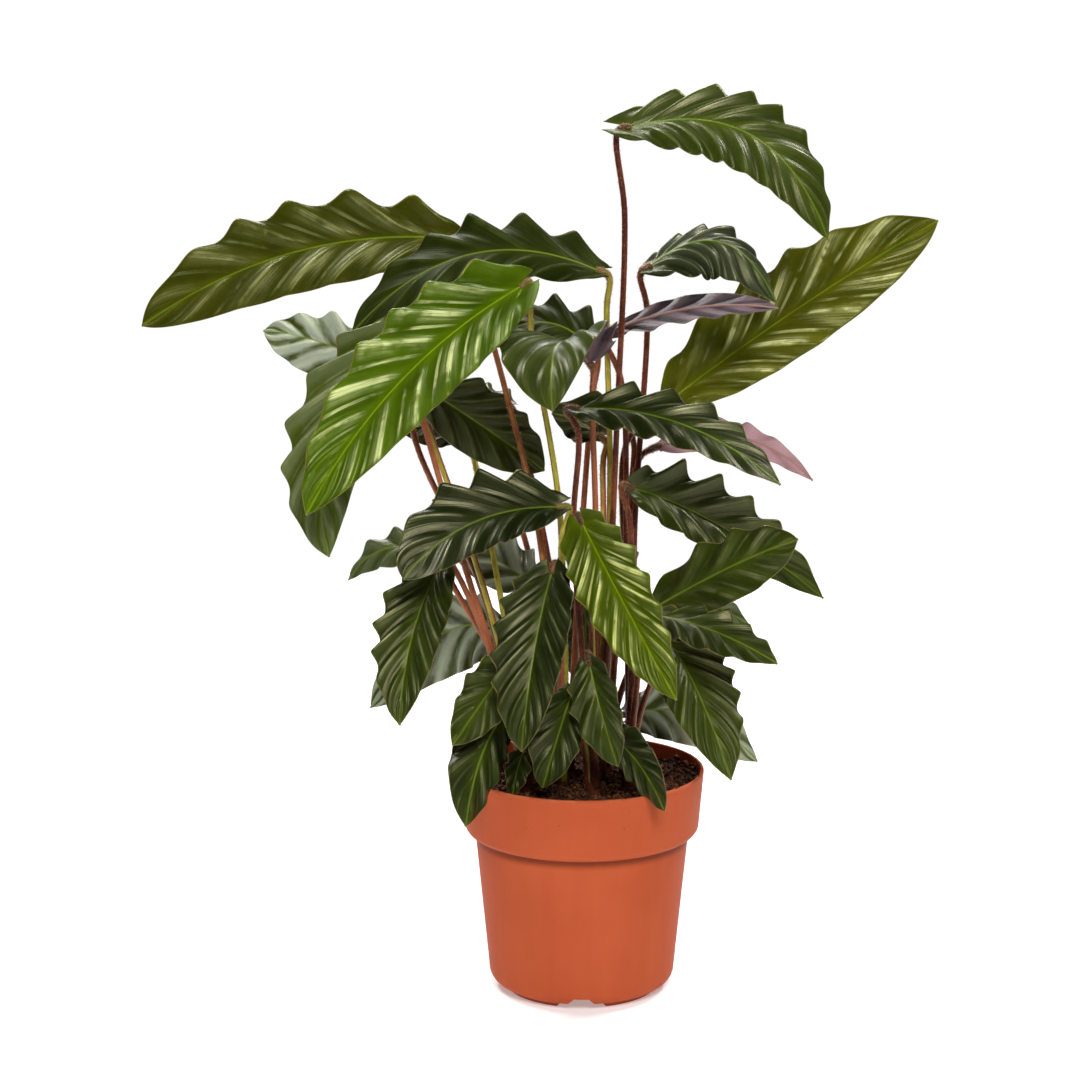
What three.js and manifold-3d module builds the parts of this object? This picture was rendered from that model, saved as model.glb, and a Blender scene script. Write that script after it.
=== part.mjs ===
// A potted calathea with long waved leaves, in millimetres. +Z is up and the plant's front faces -Y.
// The origin is the middle of the pot's underside, on the surface that the pot stands on.
import * as THREE from "three";
import { mergeVertices } from "three/addons/utils/BufferGeometryUtils.js";
import Module from "manifold-3d";

const wasm = await Module();
wasm.setup();

// Driving dimensions of the pot
const POT_HEIGHT = 176;
const LIP_RADIUS = 95;
const BAND_HEIGHT = 46;
const BAND_FOOT_RADIUS = 91;
const NECK_RADIUS = 83;
const BASE_RADIUS = 72.5;
const WALL = 2.5;
const CORNER_RADIUS = 12.5;
const SKIRT_GAP = 3.5;
const FOOT_WIDTH = 4;
const FLOOR_UNDERSIDE = 10.5;
const PAD_RADIUS = 16;
const NOTCHES = 4;
const NOTCH = { top: 12, bottom: 23, height: 7 };
const FOOT_GAP = { top: 32, bottom: 40 };
const DRAIN = { radius: 4.5, ring: 36 };

// Driving dimensions of the soil and of what stands in it
const GAP = 0.3;
const SOIL_LEVEL = 164;
const SOIL_HEAP = 7;
const SHEATH_RADIUS = 7;
const SHEATH_FOOT = 138;
const SHEATH_TOP = 204;
const STALK_FOOT = 168;
const STALK_SPREAD = 3;

// Driving dimensions of the stalks and blades
const STALK_BASE_RADIUS = 3.3;
const STALK_TOP_RADIUS = 2.3;
const KNEE_LENGTH = 9;
const HALF_THICKNESS = 0.55;
const BASE_HALF_WIDTH = { most: 6.5, share: 0.3 };
const TIP_HALF_WIDTH = 1.2;
const WIDEST = 0.42;
const BASE_BLUNTNESS = 0.4;
const TIP_LENGTH = 0.06;
const VEIN_SLANT = 1.4;
const RUFFLE_LEAN = 0.8;
const LOBE = 0.25;
const LOBE_REACH = 0.06;
const LOBE_CURL = 0.5;
const SMALL_BLADE = 100;

// Where each shoot leaves the soil
const shootFeet = {
  shoot_1: [-44, -22],
  shoot_2: [-40, 10],
  shoot_3: [-17, -8],
  shoot_4: [-12, 28],
  shoot_5: [8, -28],
  shoot_6: [13, 0],
  shoot_7: [36, -20],
  shoot_8: [40, 10],
  shoot_9: [16, 34],
};

// One entry for each leaf. base, middle and tip are points of its midrib. left and right lead from the
// middle to the two edges, as seen from the upper side with the tip pointing away. waves counts the waves
// of an edge and rise is their height. widest says how far along a blade is widest and lobe how far its
// base reaches back past the stalk, where these aren't as usual. stalk has the points that the leaf's
// stalk passes on its way up from its shoot's foot.
const leaves = [
  { base: [34, -2, 672], middle: [124, -30, 669], tip: [181, -42, 593],
    left: [17, 21, 20], right: [-17, -20, -21], waves: 8, rise: 5, lobe: 0.45,
    shoot: 6, stalk: [[26, 0, 450], [31, -3, 607]] },
  { base: [71, 50, 460], middle: [172, 92, 526], tip: [281, 135, 588],
    left: [-20, -6, 36], right: [21, -23, -20], waves: 6, rise: 4.5, widest: 0.5, point: 0.2,
    shoot: 9, stalk: [[31, 38, 333], [35, 40, 428]] },
  { base: [51, 34, 564], middle: [106, 34, 582], tip: [148, 28, 536],
    left: [3, 28, 6], right: [-8, -18, -25], waves: 6, rise: 5,
    shoot: 8, stalk: [[40, 26, 351], [49, 37, 530]] },
  { base: [24, 16, 517], middle: [85, 4, 536], tip: [147, -14, 538],
    left: [-4, -21, -7], right: [4, 21, 8], waves: 5, rise: 3.5,
    shoot: 8, stalk: [[34, 22, 336], [29, 16, 479]] },
  { base: [-102, 76, 580], middle: [-230, 92, 566], tip: [-349, 104, 507],
    left: [6, -19, -29], right: [-9, 8, 34], waves: 6, rise: 5.5, widest: 0.5, point: 0.1,
    shoot: 3, stalk: [[-34, 8, 363], [-60, 34, 468], [-88, 68, 563]] },
  { base: [11, 20, 562], middle: [-89, 24, 573], tip: [-178, 36, 511],
    left: [4, -22, -21], right: [-4, 22, 21], waves: 6, rise: 6.5, widest: 0.5,
    shoot: 6, stalk: [[21, 22, 384], [18, 25, 532]] },
  { base: [-47, -12, 554], middle: [-135, -82, 492], tip: [-202, -122, 400],
    left: [29, -22, -14], right: [-24, -10, 32], waves: 7, rise: 4.5,
    shoot: 3, stalk: [[-17, -6, 374], [-40, 9, 519]] },
  { base: [-147, 0, 518], middle: [-192, -30, 440], tip: [-190, -66, 357],
    left: [30, -18, -1], right: [-31, 18, 1], waves: 6, rise: 5.5, widest: 0.5, point: 0.3,
    shoot: 2, stalk: [[-85, 0, 317], [-123, 4, 452]] },
  { base: [-137, 46, 473], middle: [-199, 84, 495], tip: [-255, 128, 500],
    left: [-12, -9, -24], right: [8, 5, 21], waves: 5, rise: 4.5,
    shoot: 2, stalk: [[-76, 14, 314], [-116, 22, 431]] },
  { base: [-122, 18, 472], middle: [-74, 44, 435], tip: [-30, 52, 401],
    left: [18, 0, 23], right: [-13, -8, -21], waves: 5, rise: 3, lobe: 0.05,
    shoot: 2, stalk: [[-78, 24, 311], [-130, 7, 440]] },
  { base: [4, -2, 495], middle: [-19, -58, 516], tip: [-22, -108, 475],
    left: [34, -13, 15], right: [-46, 1, 4], waves: 5, rise: 4.5, lobe: 0.15,
    shoot: 6, stalk: [[10, 4, 372], [7, -1, 466]] },
  { base: [5, 52, 499], middle: [-34, 72, 515], tip: [-78, 92, 492],
    left: [-5, -15, -18], right: [6, 16, 16], waves: 4, rise: 5.5,
    shoot: 4, stalk: [[-2, 40, 332], [7, 53, 457]] },
  { base: [12, 30, 433], middle: [-5, 34, 444], tip: [-24, 30, 450],
    left: [-6, -13, -12], right: [6, 12, 13], waves: 3, rise: 3,
    shoot: 6, stalk: [[16, 16, 369], [16, 26, 416]] },
  { base: [-4, -20, 462], middle: [75, -56, 456], tip: [146, -88, 417],
    left: [13, 19, 13], right: [-12, -20, -10], waves: 6, rise: 5.5, point: 0.12,
    shoot: 5, stalk: [[-7, -14, 367], [-4, -18, 446]] },
  { base: [38, 1, 397], middle: [108, 24, 362], tip: [189, 46, 301],
    left: [14, 7, 25], right: [-3, -22, -16], waves: 6, rise: 6, point: 0.12,
    shoot: 8, stalk: [[38, 4, 277], [36, 0, 373]] },
  { base: [59, -14, 309], middle: [115, -56, 350], tip: [159, -92, 377],
    left: [-7, 10, 21], right: [9, -7, -22], waves: 4, rise: 3.5,
    shoot: 7, stalk: [[38, -12, 241], [53, -13, 295]] },
  { base: [60, 46, 422], middle: [125, 76, 423], tip: [183, 104, 384],
    left: [1, -9, -12], right: [0, 8, 11], waves: 5, rise: 3.5, lobe: 0.1,
    shoot: 8, stalk: [[37, 26, 304], [44, 36, 414]] },
  { base: [57, -44, 307], middle: [100, -84, 304], tip: [144, -116, 288],
    left: [13, 13, 8], right: [-13, -13, -9], waves: 5, rise: 5,
    shoot: 7, stalk: [[41, -26, 237], [46, -37, 292]] },
  { base: [65, -30, 285], middle: [88, -60, 250], tip: [112, -92, 192],
    left: [27, 2, 12], right: [-25, -20, -3], waves: 7, rise: 4.5, point: 0.12,
    shoot: 7, stalk: [[45, -18, 225], [60, -24, 272]] },
  { base: [67, 30, 308], middle: [102, 54, 294], tip: [134, 76, 270],
    left: [-1, 10, 11], right: [-1, -9, -13], waves: 4, rise: 3.5,
    shoot: 9, stalk: [[31, 34, 229], [57, 30, 298]] },
  { base: [36, 30, 211], middle: [90, 66, 200], tip: [142, 100, 153],
    left: [3, 12, 19], right: [-7, -8, -22], waves: 5, rise: 4,
    shoot: 9, stalk: [[24, 34, 182], [31, 32, 201]] },
  { base: [0, -36, 377], middle: [32, -78, 323], tip: [70, -108, 258],
    left: [19, -14, 19], right: [-25, -14, -10], waves: 7, rise: 4.5, point: 0.1,
    shoot: 5, stalk: [[8, -26, 253], [3, -28, 359]] },
  { base: [-23, -46, 341], middle: [-36, -82, 286], tip: [-45, -108, 218],
    left: [23, -21, 6], right: [-31, 2, 4], waves: 7, rise: 4.5,
    shoot: 3, stalk: [[-16, -18, 243], [-19, -34, 325]] },
  { base: [-19, -34, 389], middle: [-84, -60, 381], tip: [-133, -90, 345],
    left: [15, -19, -14], right: [-16, 12, 26], waves: 5, rise: 6.5, widest: 0.5,
    shoot: 3, stalk: [[-13, -12, 265], [-16, -24, 362]] },
  { base: [-109, -26, 341], middle: [-129, -58, 291], tip: [-137, -86, 232],
    left: [23, -18, 4], right: [-27, -1, 7], waves: 6, rise: 5, point: 0.12,
    shoot: 1, stalk: [[-66, -16, 258], [-95, -20, 333]] },
  { base: [-112, 24, 339], middle: [-154, 44, 340], tip: [-185, 62, 311],
    left: [0, -9, -13], right: [1, 10, 11], waves: 4, rise: 4,
    shoot: 2, stalk: [[-64, 14, 250], [-106, 20, 330]] },
  { base: [-66, 38, 278], middle: [-116, 64, 264], tip: [-170, 84, 201],
    left: [12, -8, -31], right: [-10, 11, 20], waves: 5, rise: 5,
    shoot: 2, stalk: [[-46, 26, 215], [-61, 36, 263]] },
  { base: [-41, 34, 318], middle: [-76, 54, 337], tip: [-118, 62, 376],
    left: [-15, -9, -15], right: [15, 12, 14], waves: 4, rise: 3.5,
    shoot: 4, stalk: [[-16, 28, 231], [-35, 30, 299]] },
  { base: [-57, -40, 267], middle: [-76, -70, 246], tip: [-97, -98, 220],
    left: [17, -3, -11], right: [-13, -5, 17], waves: 4, rise: 3,
    shoot: 1, stalk: [[-45, -24, 204], [-51, -33, 251]] },
  { base: [-59, -35, 228], middle: [-77, -66, 201], tip: [-87, -108, 160],
    left: [14, 10, -17], right: [-22, 0, 10], waves: 4, rise: 4,
    shoot: 1, stalk: [[-45, -24, 187], [-52, -30, 215]] },
  { base: [-8, -42, 246], middle: [-19, -58, 214], tip: [-30, -66, 178],
    left: [18, -9, -3], right: [-19, -4, 8], waves: 4, rise: 3.5,
    shoot: 5, stalk: [[3, -30, 198], [-4, -34, 234]] },
  { base: [6, -54, 272], middle: [15, -68, 238], tip: [27, -76, 198],
    left: [14, -14, 8], right: [-21, -1, -5], waves: 4, rise: 3.5,
    shoot: 5, stalk: [[9, -36, 204], [7, -44, 253]] },
  { base: [21, -46, 215], middle: [44, -80, 200], tip: [62, -104, 171],
    left: [7, -8, 18], right: [-6, 9, -17], waves: 4, rise: 4,
    shoot: 7, stalk: [[29, -28, 188], [24, -38, 205]] },
  { base: [-45, -40, 199], middle: [-50, -50, 186], tip: [-53, -56, 169],
    left: [10, -5, 0], right: [-8, -7, 6], waves: 3, rise: 2.5,
    shoot: 1, stalk: [[-42, -26, 171], [-45, -34, 188]] },
  { base: [-98, 78, 423], middle: [-121, 86, 430], tip: [-145, 92, 426],
    left: [-3, -7, -14], right: [4, 11, 11], waves: 3, rise: 2.5,
    shoot: 2, stalk: [[-60, 24, 285], [-82, 58, 395]] },
  { base: [3, 56, 303], middle: [3, 74, 260], tip: [8, 84, 208],
    left: [21, -3, 0], right: [-21, -3, -2], waves: 4, rise: 3,
    shoot: 4, stalk: [[-8, 34, 205], [-3, 44, 283]] },
  { base: [-60, 62, 452], middle: [-96, 104, 458], tip: [-128, 146, 428],
    left: [-16, -14, 8], right: [17, 14, -3], waves: 4, rise: 4,
    shoot: 4, stalk: [[-22, 48, 300], [-48, 56, 428]] },
  { base: [22, 62, 330], middle: [26, 108, 318], tip: [38, 150, 268],
    left: [-18, 2, 4], right: [18, -4, 3], waves: 4, rise: 3.5,
    shoot: 9, stalk: [[20, 44, 240], [22, 54, 316]] },
  { base: [-32, 60, 272], middle: [-40, 104, 270], tip: [-46, 146, 224],
    left: [-20, -3, 4], right: [20, 3, 4], waves: 4, rise: 3.5,
    shoot: 4, stalk: [[-18, 44, 220], [-28, 54, 262]] },
  { base: [44, 62, 436], middle: [80, 104, 430], tip: [112, 146, 396],
    left: [-15, 14, 6], right: [16, -13, 2], waves: 4, rise: 4,
    shoot: 9, stalk: [[26, 46, 300], [40, 52, 418]] },
  { base: [-56, 74, 362], middle: [-84, 114, 368], tip: [-108, 154, 338],
    left: [-16, -10, 7], right: [17, 11, 2], waves: 4, rise: 4,
    shoot: 4, stalk: [[-22, 48, 240], [-46, 66, 345]] },
];

const vec = ([x, y, z]) => new THREE.Vector3(x, y, z);

/** A three.js geometry as a manifold-3d solid. */
function toSolid(geometry) {
  const bare = geometry.clone();
  bare.deleteAttribute("normal");
  bare.deleteAttribute("uv");
  const merged = mergeVertices(bare, 1e-4);
  return new wasm.Manifold(new wasm.Mesh({
    numProp: 3,
    vertProperties: Float32Array.from(merged.attributes.position.array),
    triVerts: Uint32Array.from(merged.index.array),
  }));
}

/** A manifold-3d solid as a three.js geometry. */
function toGeometry(solid) {
  const mesh = solid.getMesh();
  const geometry = new THREE.BufferGeometry();
  geometry.setAttribute("position", new THREE.BufferAttribute(mesh.vertProperties, 3));
  geometry.setIndex(new THREE.BufferAttribute(mesh.triVerts, 1));
  geometry.computeVertexNormals();
  return geometry;
}

/** A closed solid from rings of points: each ring is joined to the next, and both ends are capped. */
function ringSolid(rings) {
  const size = rings[0].length;
  const index = [];
  for (let i = 0; i < rings.length - 1; i += 1) {
    for (let j = 0; j < size; j += 1) {
      const a = i * size + j;
      const b = i * size + ((j + 1) % size);
      index.push(a, b, b + size, a, b + size, a + size);
    }
  }
  const last = (rings.length - 1) * size;
  for (let j = 1; j < size - 1; j += 1) {
    index.push(0, j + 1, j);
    index.push(last, last + j, last + j + 1);
  }
  const geometry = new THREE.BufferGeometry();
  geometry.setFromPoints(rings.flat());
  geometry.setIndex(index);
  geometry.computeVertexNormals();
  return geometry;
}

/** Turns a lathed shape, made around Y, upright around Z. */
function lathe(profile, segments) {
  const points = profile.map(([radius, height]) => new THREE.Vector2(radius, height));
  return new THREE.LatheGeometry(points, segments).rotateX(Math.PI / 2);
}

/** A wedge across the pot's edge, a trapezoid seen from outside, that cuts the skirt or the foot ring. */
function edgeWedge(bottomWidth, topWidth, bottom, top, turn) {
  const shape = new THREE.Shape();
  shape.moveTo(-bottomWidth / 2, bottom);
  shape.lineTo(bottomWidth / 2, bottom);
  shape.lineTo(topWidth / 2, top);
  shape.lineTo(-topWidth / 2, top);
  shape.closePath();
  const depth = BASE_RADIUS;
  const wedge = new THREE.ExtrudeGeometry(shape, { depth, bevelEnabled: false });
  const inner = BASE_RADIUS - CORNER_RADIUS - 2 * FOOT_WIDTH;
  wedge.translate(0, 0, inner).rotateX(Math.PI / 2).rotateZ(turn);
  return toSolid(wedge);
}

/** The pot: one lathed wall with its lip band, rounded corner, foot ring and middle pad, then its cuts. */
function potGeometry() {
  const footRadius = BASE_RADIUS - CORNER_RADIUS;
  const floorTop = FLOOR_UNDERSIDE + WALL;
  const bandFoot = POT_HEIGHT - BAND_HEIGHT;
  const corner = [];
  const cornerSteps = 3;
  for (let i = 0; i <= cornerSteps; i += 1) {
    const angle = (i / cornerSteps - 1) * Math.PI / 2;
    corner.push([
      footRadius + CORNER_RADIUS * Math.cos(angle),
      SKIRT_GAP + CORNER_RADIUS * (1 + Math.sin(angle)),
    ]);
  }
  const profile = [
    [0, 0],
    [PAD_RADIUS, 0],
    [PAD_RADIUS + 2, FLOOR_UNDERSIDE],
    [footRadius - FOOT_WIDTH - 1, FLOOR_UNDERSIDE],
    [footRadius - FOOT_WIDTH, 0],
    [footRadius - 0.5, 0],
    ...corner,
    [NECK_RADIUS, bandFoot - 8],
    [NECK_RADIUS + 1, bandFoot - 5],
    [BAND_FOOT_RADIUS - 2.5, bandFoot - 3.5],
    [BAND_FOOT_RADIUS, bandFoot],
    [LIP_RADIUS, POT_HEIGHT - 1.5],
    [LIP_RADIUS - 0.6, POT_HEIGHT],
    [LIP_RADIUS - WALL, POT_HEIGHT],
    [BAND_FOOT_RADIUS - WALL, bandFoot],
    [NECK_RADIUS - WALL, bandFoot - 5],
    [BASE_RADIUS - WALL, floorTop + 6],
    [footRadius, floorTop],
    [0, floorTop],
  ];
  let pot = toSolid(lathe(profile, 32));
  for (let i = 0; i < NOTCHES; i += 1) {
    const turn = i * 2 * Math.PI / NOTCHES;
    pot = pot.subtract(edgeWedge(FOOT_GAP.bottom, FOOT_GAP.top, -1, SKIRT_GAP, turn));
    const notchTop = SKIRT_GAP + NOTCH.height;
    pot = pot.subtract(edgeWedge(NOTCH.bottom, NOTCH.top, SKIRT_GAP - 0.1, notchTop, turn));
    const drain = new THREE.CylinderGeometry(DRAIN.radius, DRAIN.radius, 3 * WALL, 12);
    drain.rotateX(Math.PI / 2).translate(0, -DRAIN.ring, FLOOR_UNDERSIDE);
    drain.rotateZ(turn + Math.PI / NOTCHES);
    pot = pot.subtract(toSolid(drain));
  }
  return toGeometry(pot);
}

/** Height of the soil at a place: nearly level, heaped against the pot's right side. */
function soilHeight(x, y) {
  const lumps = Math.sin(x / 9) * Math.cos(y / 11);
  const toRight = THREE.MathUtils.smoothstep(x - 0.3 * y, 30, 85);
  return SOIL_LEVEL + lumps + SOIL_HEAP * toRight;
}

/** The soil: a plug that follows the pot's inside, with a plain round hole for the foot of each shoot. */
function soilGeometry() {
  const floorTop = FLOOR_UNDERSIDE + WALL;
  const bandFoot = POT_HEIGHT - BAND_HEIGHT;
  const inset = WALL + 1.3 * GAP;
  const rim = LIP_RADIUS - inset - 1;
  const topRings = [rim, 72, 54, 36, 18, 0].map((radius) => [radius, SOIL_LEVEL]);
  const profile = [
    [0, floorTop + GAP],
    [BASE_RADIUS - CORNER_RADIUS - GAP, floorTop + GAP],
    [BASE_RADIUS - inset, floorTop + 6 + GAP],
    [NECK_RADIUS - inset, bandFoot - 5],
    [BAND_FOOT_RADIUS - inset, bandFoot + GAP],
    ...topRings,
  ];
  const plug = lathe(profile, 32);
  const places = plug.attributes.position;
  for (let i = 0; i < places.count; i += 1) {
    if (places.getZ(i) > SOIL_LEVEL - 1) {
      places.setZ(i, soilHeight(places.getX(i), places.getY(i)));
    }
  }
  let soil = toSolid(plug);
  const depth = SHEATH_TOP - SHEATH_FOOT;
  for (const [x, y] of Object.values(shootFeet)) {
    const hole = new THREE.CylinderGeometry(SHEATH_RADIUS + GAP, SHEATH_RADIUS + GAP, depth, 10);
    hole.rotateX(Math.PI / 2).translate(x, y, SHEATH_FOOT - GAP + depth / 2);
    soil = soil.subtract(toSolid(hole));
  }
  return toGeometry(soil);
}

/** The midrib of a leaf: the curve from its base to its tip that passes its middle point. */
function midrib(leaf) {
  const bend = vec(leaf.middle).multiplyScalar(2);
  bend.sub(vec(leaf.base).add(vec(leaf.tip)).multiplyScalar(0.5));
  return new THREE.QuadraticBezierCurve3(vec(leaf.base), bend, vec(leaf.tip));
}

/** How wide a blade is at s, from 0 at its base to 1 at its tip, as a share of its full width. */
function outline(s, widest, point) {
  const taper = BASE_BLUNTNESS * (1 - widest) / widest;
  const body = (s / widest) ** BASE_BLUNTNESS * ((1 - s) / (1 - widest)) ** taper;
  return body * (1 + point) * ((1 - s) / (1 + point - s)) ** 0.5;
}

/** Whether a blade is so small that it gets fewer columns and no lobes. */
const isSmall = (curve) => curve.getLength() < SMALL_BLADE;

/** A point of a blade's middle surface, s along and u across, and the way its upper side faces there. */
function bladePoint(leaf, curve, s, u) {
  const along = curve.getTangent(0.5);
  const side = vec(leaf.right).sub(vec(leaf.left));
  side.addScaledVector(along, -side.dot(along)).normalize();
  const face = side.clone().cross(along);
  const edge = vec(u < 0 ? leaf.left : leaf.right);
  const size = edge.length();
  const reach = edge.dot(side);
  const lift = edge.dot(face);

  const tangent = curve.getTangent(s);
  const sideHere = side.clone().addScaledVector(tangent, -side.dot(tangent)).normalize();
  const faceHere = sideHere.clone().cross(tangent);
  const up = new THREE.Vector3(0, 0, 1);
  up.addScaledVector(tangent, -up.dot(tangent));
  const ruffle = faceHere.clone().addScaledVector(up, RUFFLE_LEAN).normalize();
  const blunt = Math.min(BASE_HALF_WIDTH.most / size, BASE_HALF_WIDTH.share) * (1 - s);
  const full = outline(s, leaf.widest ?? WIDEST, leaf.point ?? TIP_LENGTH);
  const share = Math.max(full, blunt, TIP_HALF_WIDTH / size);
  const width = share * Math.abs(u);
  const inner = 1 - Math.abs(u);
  const slant = VEIN_SLANT * leaf.waves * size / curve.getLength() * inner * (1 + 0.3 * inner);
  const fade = Math.min(1, 10 * s, 1.8 * (1 - s));
  const turn = 2 * Math.PI * (leaf.waves * s + slant) + (u < 0 ? 0 : Math.PI);
  const wave = leaf.rise * fade * Math.abs(u) ** 1.4 * Math.sin(turn);
  const lobeShare = Math.max(0, 2 * Math.abs(u) - 1) * Math.exp(-s / LOBE_REACH);
  const lobe = isSmall(curve) ? 0 : (leaf.lobe ?? LOBE) * size * lobeShare;
  const point = curve.getPoint(s);
  point.addScaledVector(sideHere, width * reach);
  point.addScaledVector(faceHere, width * lift + LOBE_CURL * lobe);
  point.addScaledVector(ruffle, wave);
  point.addScaledVector(tangent, -lobe);
  return { point, face: faceHere };
}

/** A blade: a thin solid with a waved edge, sampled at the top and the foot of each wave. */
function bladeGeometry(leaf) {
  const curve = midrib(leaf);
  const across = isSmall(curve) ? [-1, 0, 1] : [-1, -0.5, 0, 0.5, 1];
  const stations = [0];
  for (let i = 0; i < 2 * leaf.waves; i += 1) {
    stations.push((i + 0.5) / (2 * leaf.waves));
  }
  stations.push(1);
  const rings = stations.map((s) => {
    const row = across.map((u) => bladePoint(leaf, curve, s, u));
    const upper = row.map(({ point, face }) => point.clone().addScaledVector(face, HALF_THICKNESS));
    const lower = row.map(({ point, face }) => point.clone().addScaledVector(face, -HALF_THICKNESS));
    return [...upper, ...lower.reverse()];
  });
  return bladeSolid(rings, across.length);
}

/** Joins a blade's rings, with the diagonals of its lower face right under those of its upper face. */
function bladeSolid(rings, columns) {
  const size = 2 * columns;
  const index = [];
  for (let i = 0; i < rings.length - 1; i += 1) {
    for (let j = 0; j < size; j += 1) {
      const a = i * size + j;
      const b = i * size + ((j + 1) % size);
      if (j < columns) {
        index.push(a, b, b + size, a, b + size, a + size);
      } else {
        index.push(a, b, a + size, b, b + size, a + size);
      }
    }
  }
  const last = (rings.length - 1) * size;
  for (let j = 0; j < columns - 1; j += 1) {
    const k = size - 1 - j;
    index.push(j, k, k - 1, j, k - 1, j + 1);
    index.push(last + j, last + k - 1, last + k, last + j, last + j + 1, last + k - 1);
  }
  const geometry = new THREE.BufferGeometry();
  geometry.setFromPoints(rings.flat());
  geometry.setIndex(index);
  geometry.computeVertexNormals();
  return geometry;
}

/** The route of a leaf stalk: up from the shoot's foot, past its own points, and over into the blade. */
function stalkRoute(leaf, foot) {
  const start = midrib(leaf).getTangent(0);
  const end = vec(leaf.base).addScaledVector(start, -1.2 * GAP);
  const bend = vec(leaf.base).addScaledVector(start, -KNEE_LENGTH);
  const points = [vec([...foot, STALK_FOOT]), ...leaf.stalk.map(vec), bend, end];
  return new THREE.CatmullRomCurve3(points, false, "centripetal");
}

/** A round stalk along a route, thinner towards the blade, with two steps between the route's points. */
function stalkGeometry(route) {
  const steps = 2 * (route.points.length - 1);
  const sides = 5;
  const rings = [];
  const across = new THREE.Vector3(1, 0, 0);
  for (let i = 0; i <= steps; i += 1) {
    const centre = route.getPoint(i / steps);
    const tangent = route.getTangent(i / steps);
    across.addScaledVector(tangent, -across.dot(tangent)).normalize();
    const other = tangent.clone().cross(across);
    const radius = THREE.MathUtils.lerp(STALK_BASE_RADIUS, STALK_TOP_RADIUS, Math.min(1, 2 * i / steps));
    const ring = [];
    for (let j = 0; j < sides; j += 1) {
      const angle = 2 * Math.PI * j / sides;
      const point = centre.clone();
      point.addScaledVector(across, radius * Math.cos(angle));
      point.addScaledVector(other, radius * Math.sin(angle));
      ring.push(point);
    }
    rings.push(ring);
  }
  return ringSolid(rings);
}

/** A shoot: its round sheathing foot in the soil and the stalks of its leaves, grown together. */
function shootGeometry(number) {
  const foot = shootFeet[`shoot_${number}`];
  const profile = [
    [0, SHEATH_FOOT],
    [SHEATH_RADIUS, SHEATH_FOOT],
    [SHEATH_RADIUS, SOIL_LEVEL + 8],
    [STALK_BASE_RADIUS + 1, SHEATH_TOP],
    [0, SHEATH_TOP],
  ];
  let shoot = toSolid(lathe(profile, 10).translate(...foot, 0));
  const members = leaves.filter((leaf) => leaf.shoot === number);
  members.forEach((leaf, i) => {
    const angle = 2 * Math.PI * (i + 0.5) / members.length;
    const ownFoot = [foot[0] + STALK_SPREAD * Math.cos(angle), foot[1] + STALK_SPREAD * Math.sin(angle)];
    shoot = shoot.add(toSolid(stalkGeometry(stalkRoute(leaf, ownFoot))));
  });
  return toGeometry(shoot);
}

/** A named mesh with its own material. */
function part(name, geometry, color, roughness) {
  const material = new THREE.MeshStandardMaterial({ color, roughness, metalness: 0 });
  const mesh = new THREE.Mesh(geometry, material);
  mesh.name = name;
  return mesh;
}

const plant = new THREE.Group();
plant.add(part("pot", potGeometry(), 0xcd6441, 0.45));
plant.add(part("soil", soilGeometry(), 0x2b1a12, 0.95));
Object.keys(shootFeet).forEach((name, i) => {
  plant.add(part(name, shootGeometry(i + 1), 0x965541, 0.6));
});
leaves.forEach((leaf, i) => {
  const number = String(i + 1).padStart(2, "0");
  plant.add(part(`leaf_${number}`, bladeGeometry(leaf), 0x46611e, 0.4));
});

export default plant;
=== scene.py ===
import math

import bpy
import numpy as np
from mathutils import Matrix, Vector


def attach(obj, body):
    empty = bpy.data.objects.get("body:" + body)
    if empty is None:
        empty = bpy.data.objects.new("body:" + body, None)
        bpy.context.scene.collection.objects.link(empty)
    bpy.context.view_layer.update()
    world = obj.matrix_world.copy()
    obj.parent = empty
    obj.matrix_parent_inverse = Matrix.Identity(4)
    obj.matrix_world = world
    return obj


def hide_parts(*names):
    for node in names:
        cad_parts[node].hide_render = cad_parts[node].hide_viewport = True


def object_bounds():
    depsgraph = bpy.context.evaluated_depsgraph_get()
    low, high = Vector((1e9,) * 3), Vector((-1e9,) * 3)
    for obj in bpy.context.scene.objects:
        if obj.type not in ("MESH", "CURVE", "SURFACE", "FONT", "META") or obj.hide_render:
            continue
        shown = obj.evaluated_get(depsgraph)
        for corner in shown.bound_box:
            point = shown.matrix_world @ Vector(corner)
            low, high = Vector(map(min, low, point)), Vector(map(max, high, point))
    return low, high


# %% [markdown]
# # A potted calathea
# This lesson dresses a solid model of a potted calathea: nine shoots of long waved leaves in a
# terracotta-coloured plastic nursery pot. The solids are loaded first and stay as the fixed frame.
# Each of them is then stood in for by a finer piece of the same size in the same place.
# Lengths of the plant are written in millimetres, as in the solid model, and Blender works in metres.

# %% Load the solid model and measure it
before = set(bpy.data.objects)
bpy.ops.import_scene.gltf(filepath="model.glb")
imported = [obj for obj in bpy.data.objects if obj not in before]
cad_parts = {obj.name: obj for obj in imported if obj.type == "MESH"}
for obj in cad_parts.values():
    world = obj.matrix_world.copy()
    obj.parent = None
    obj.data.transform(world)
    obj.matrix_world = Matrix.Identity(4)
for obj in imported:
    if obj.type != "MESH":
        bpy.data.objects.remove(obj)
cad_box = [list(corner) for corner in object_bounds()]
MM = 0.001
print("solids:", len(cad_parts), "box in metres:", cad_box)

# %% [markdown]
# ## The camera
# The picture was taken from about two and a half metres away with a long lens, a little above the
# leaves and looking slightly down. A far camera and a long lens keep the tall plant free of
# perspective swelling. The pot stands right of the middle, so the camera turns a little to the left,
# which keeps the upright lines straighter than shifting the lens would.

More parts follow.
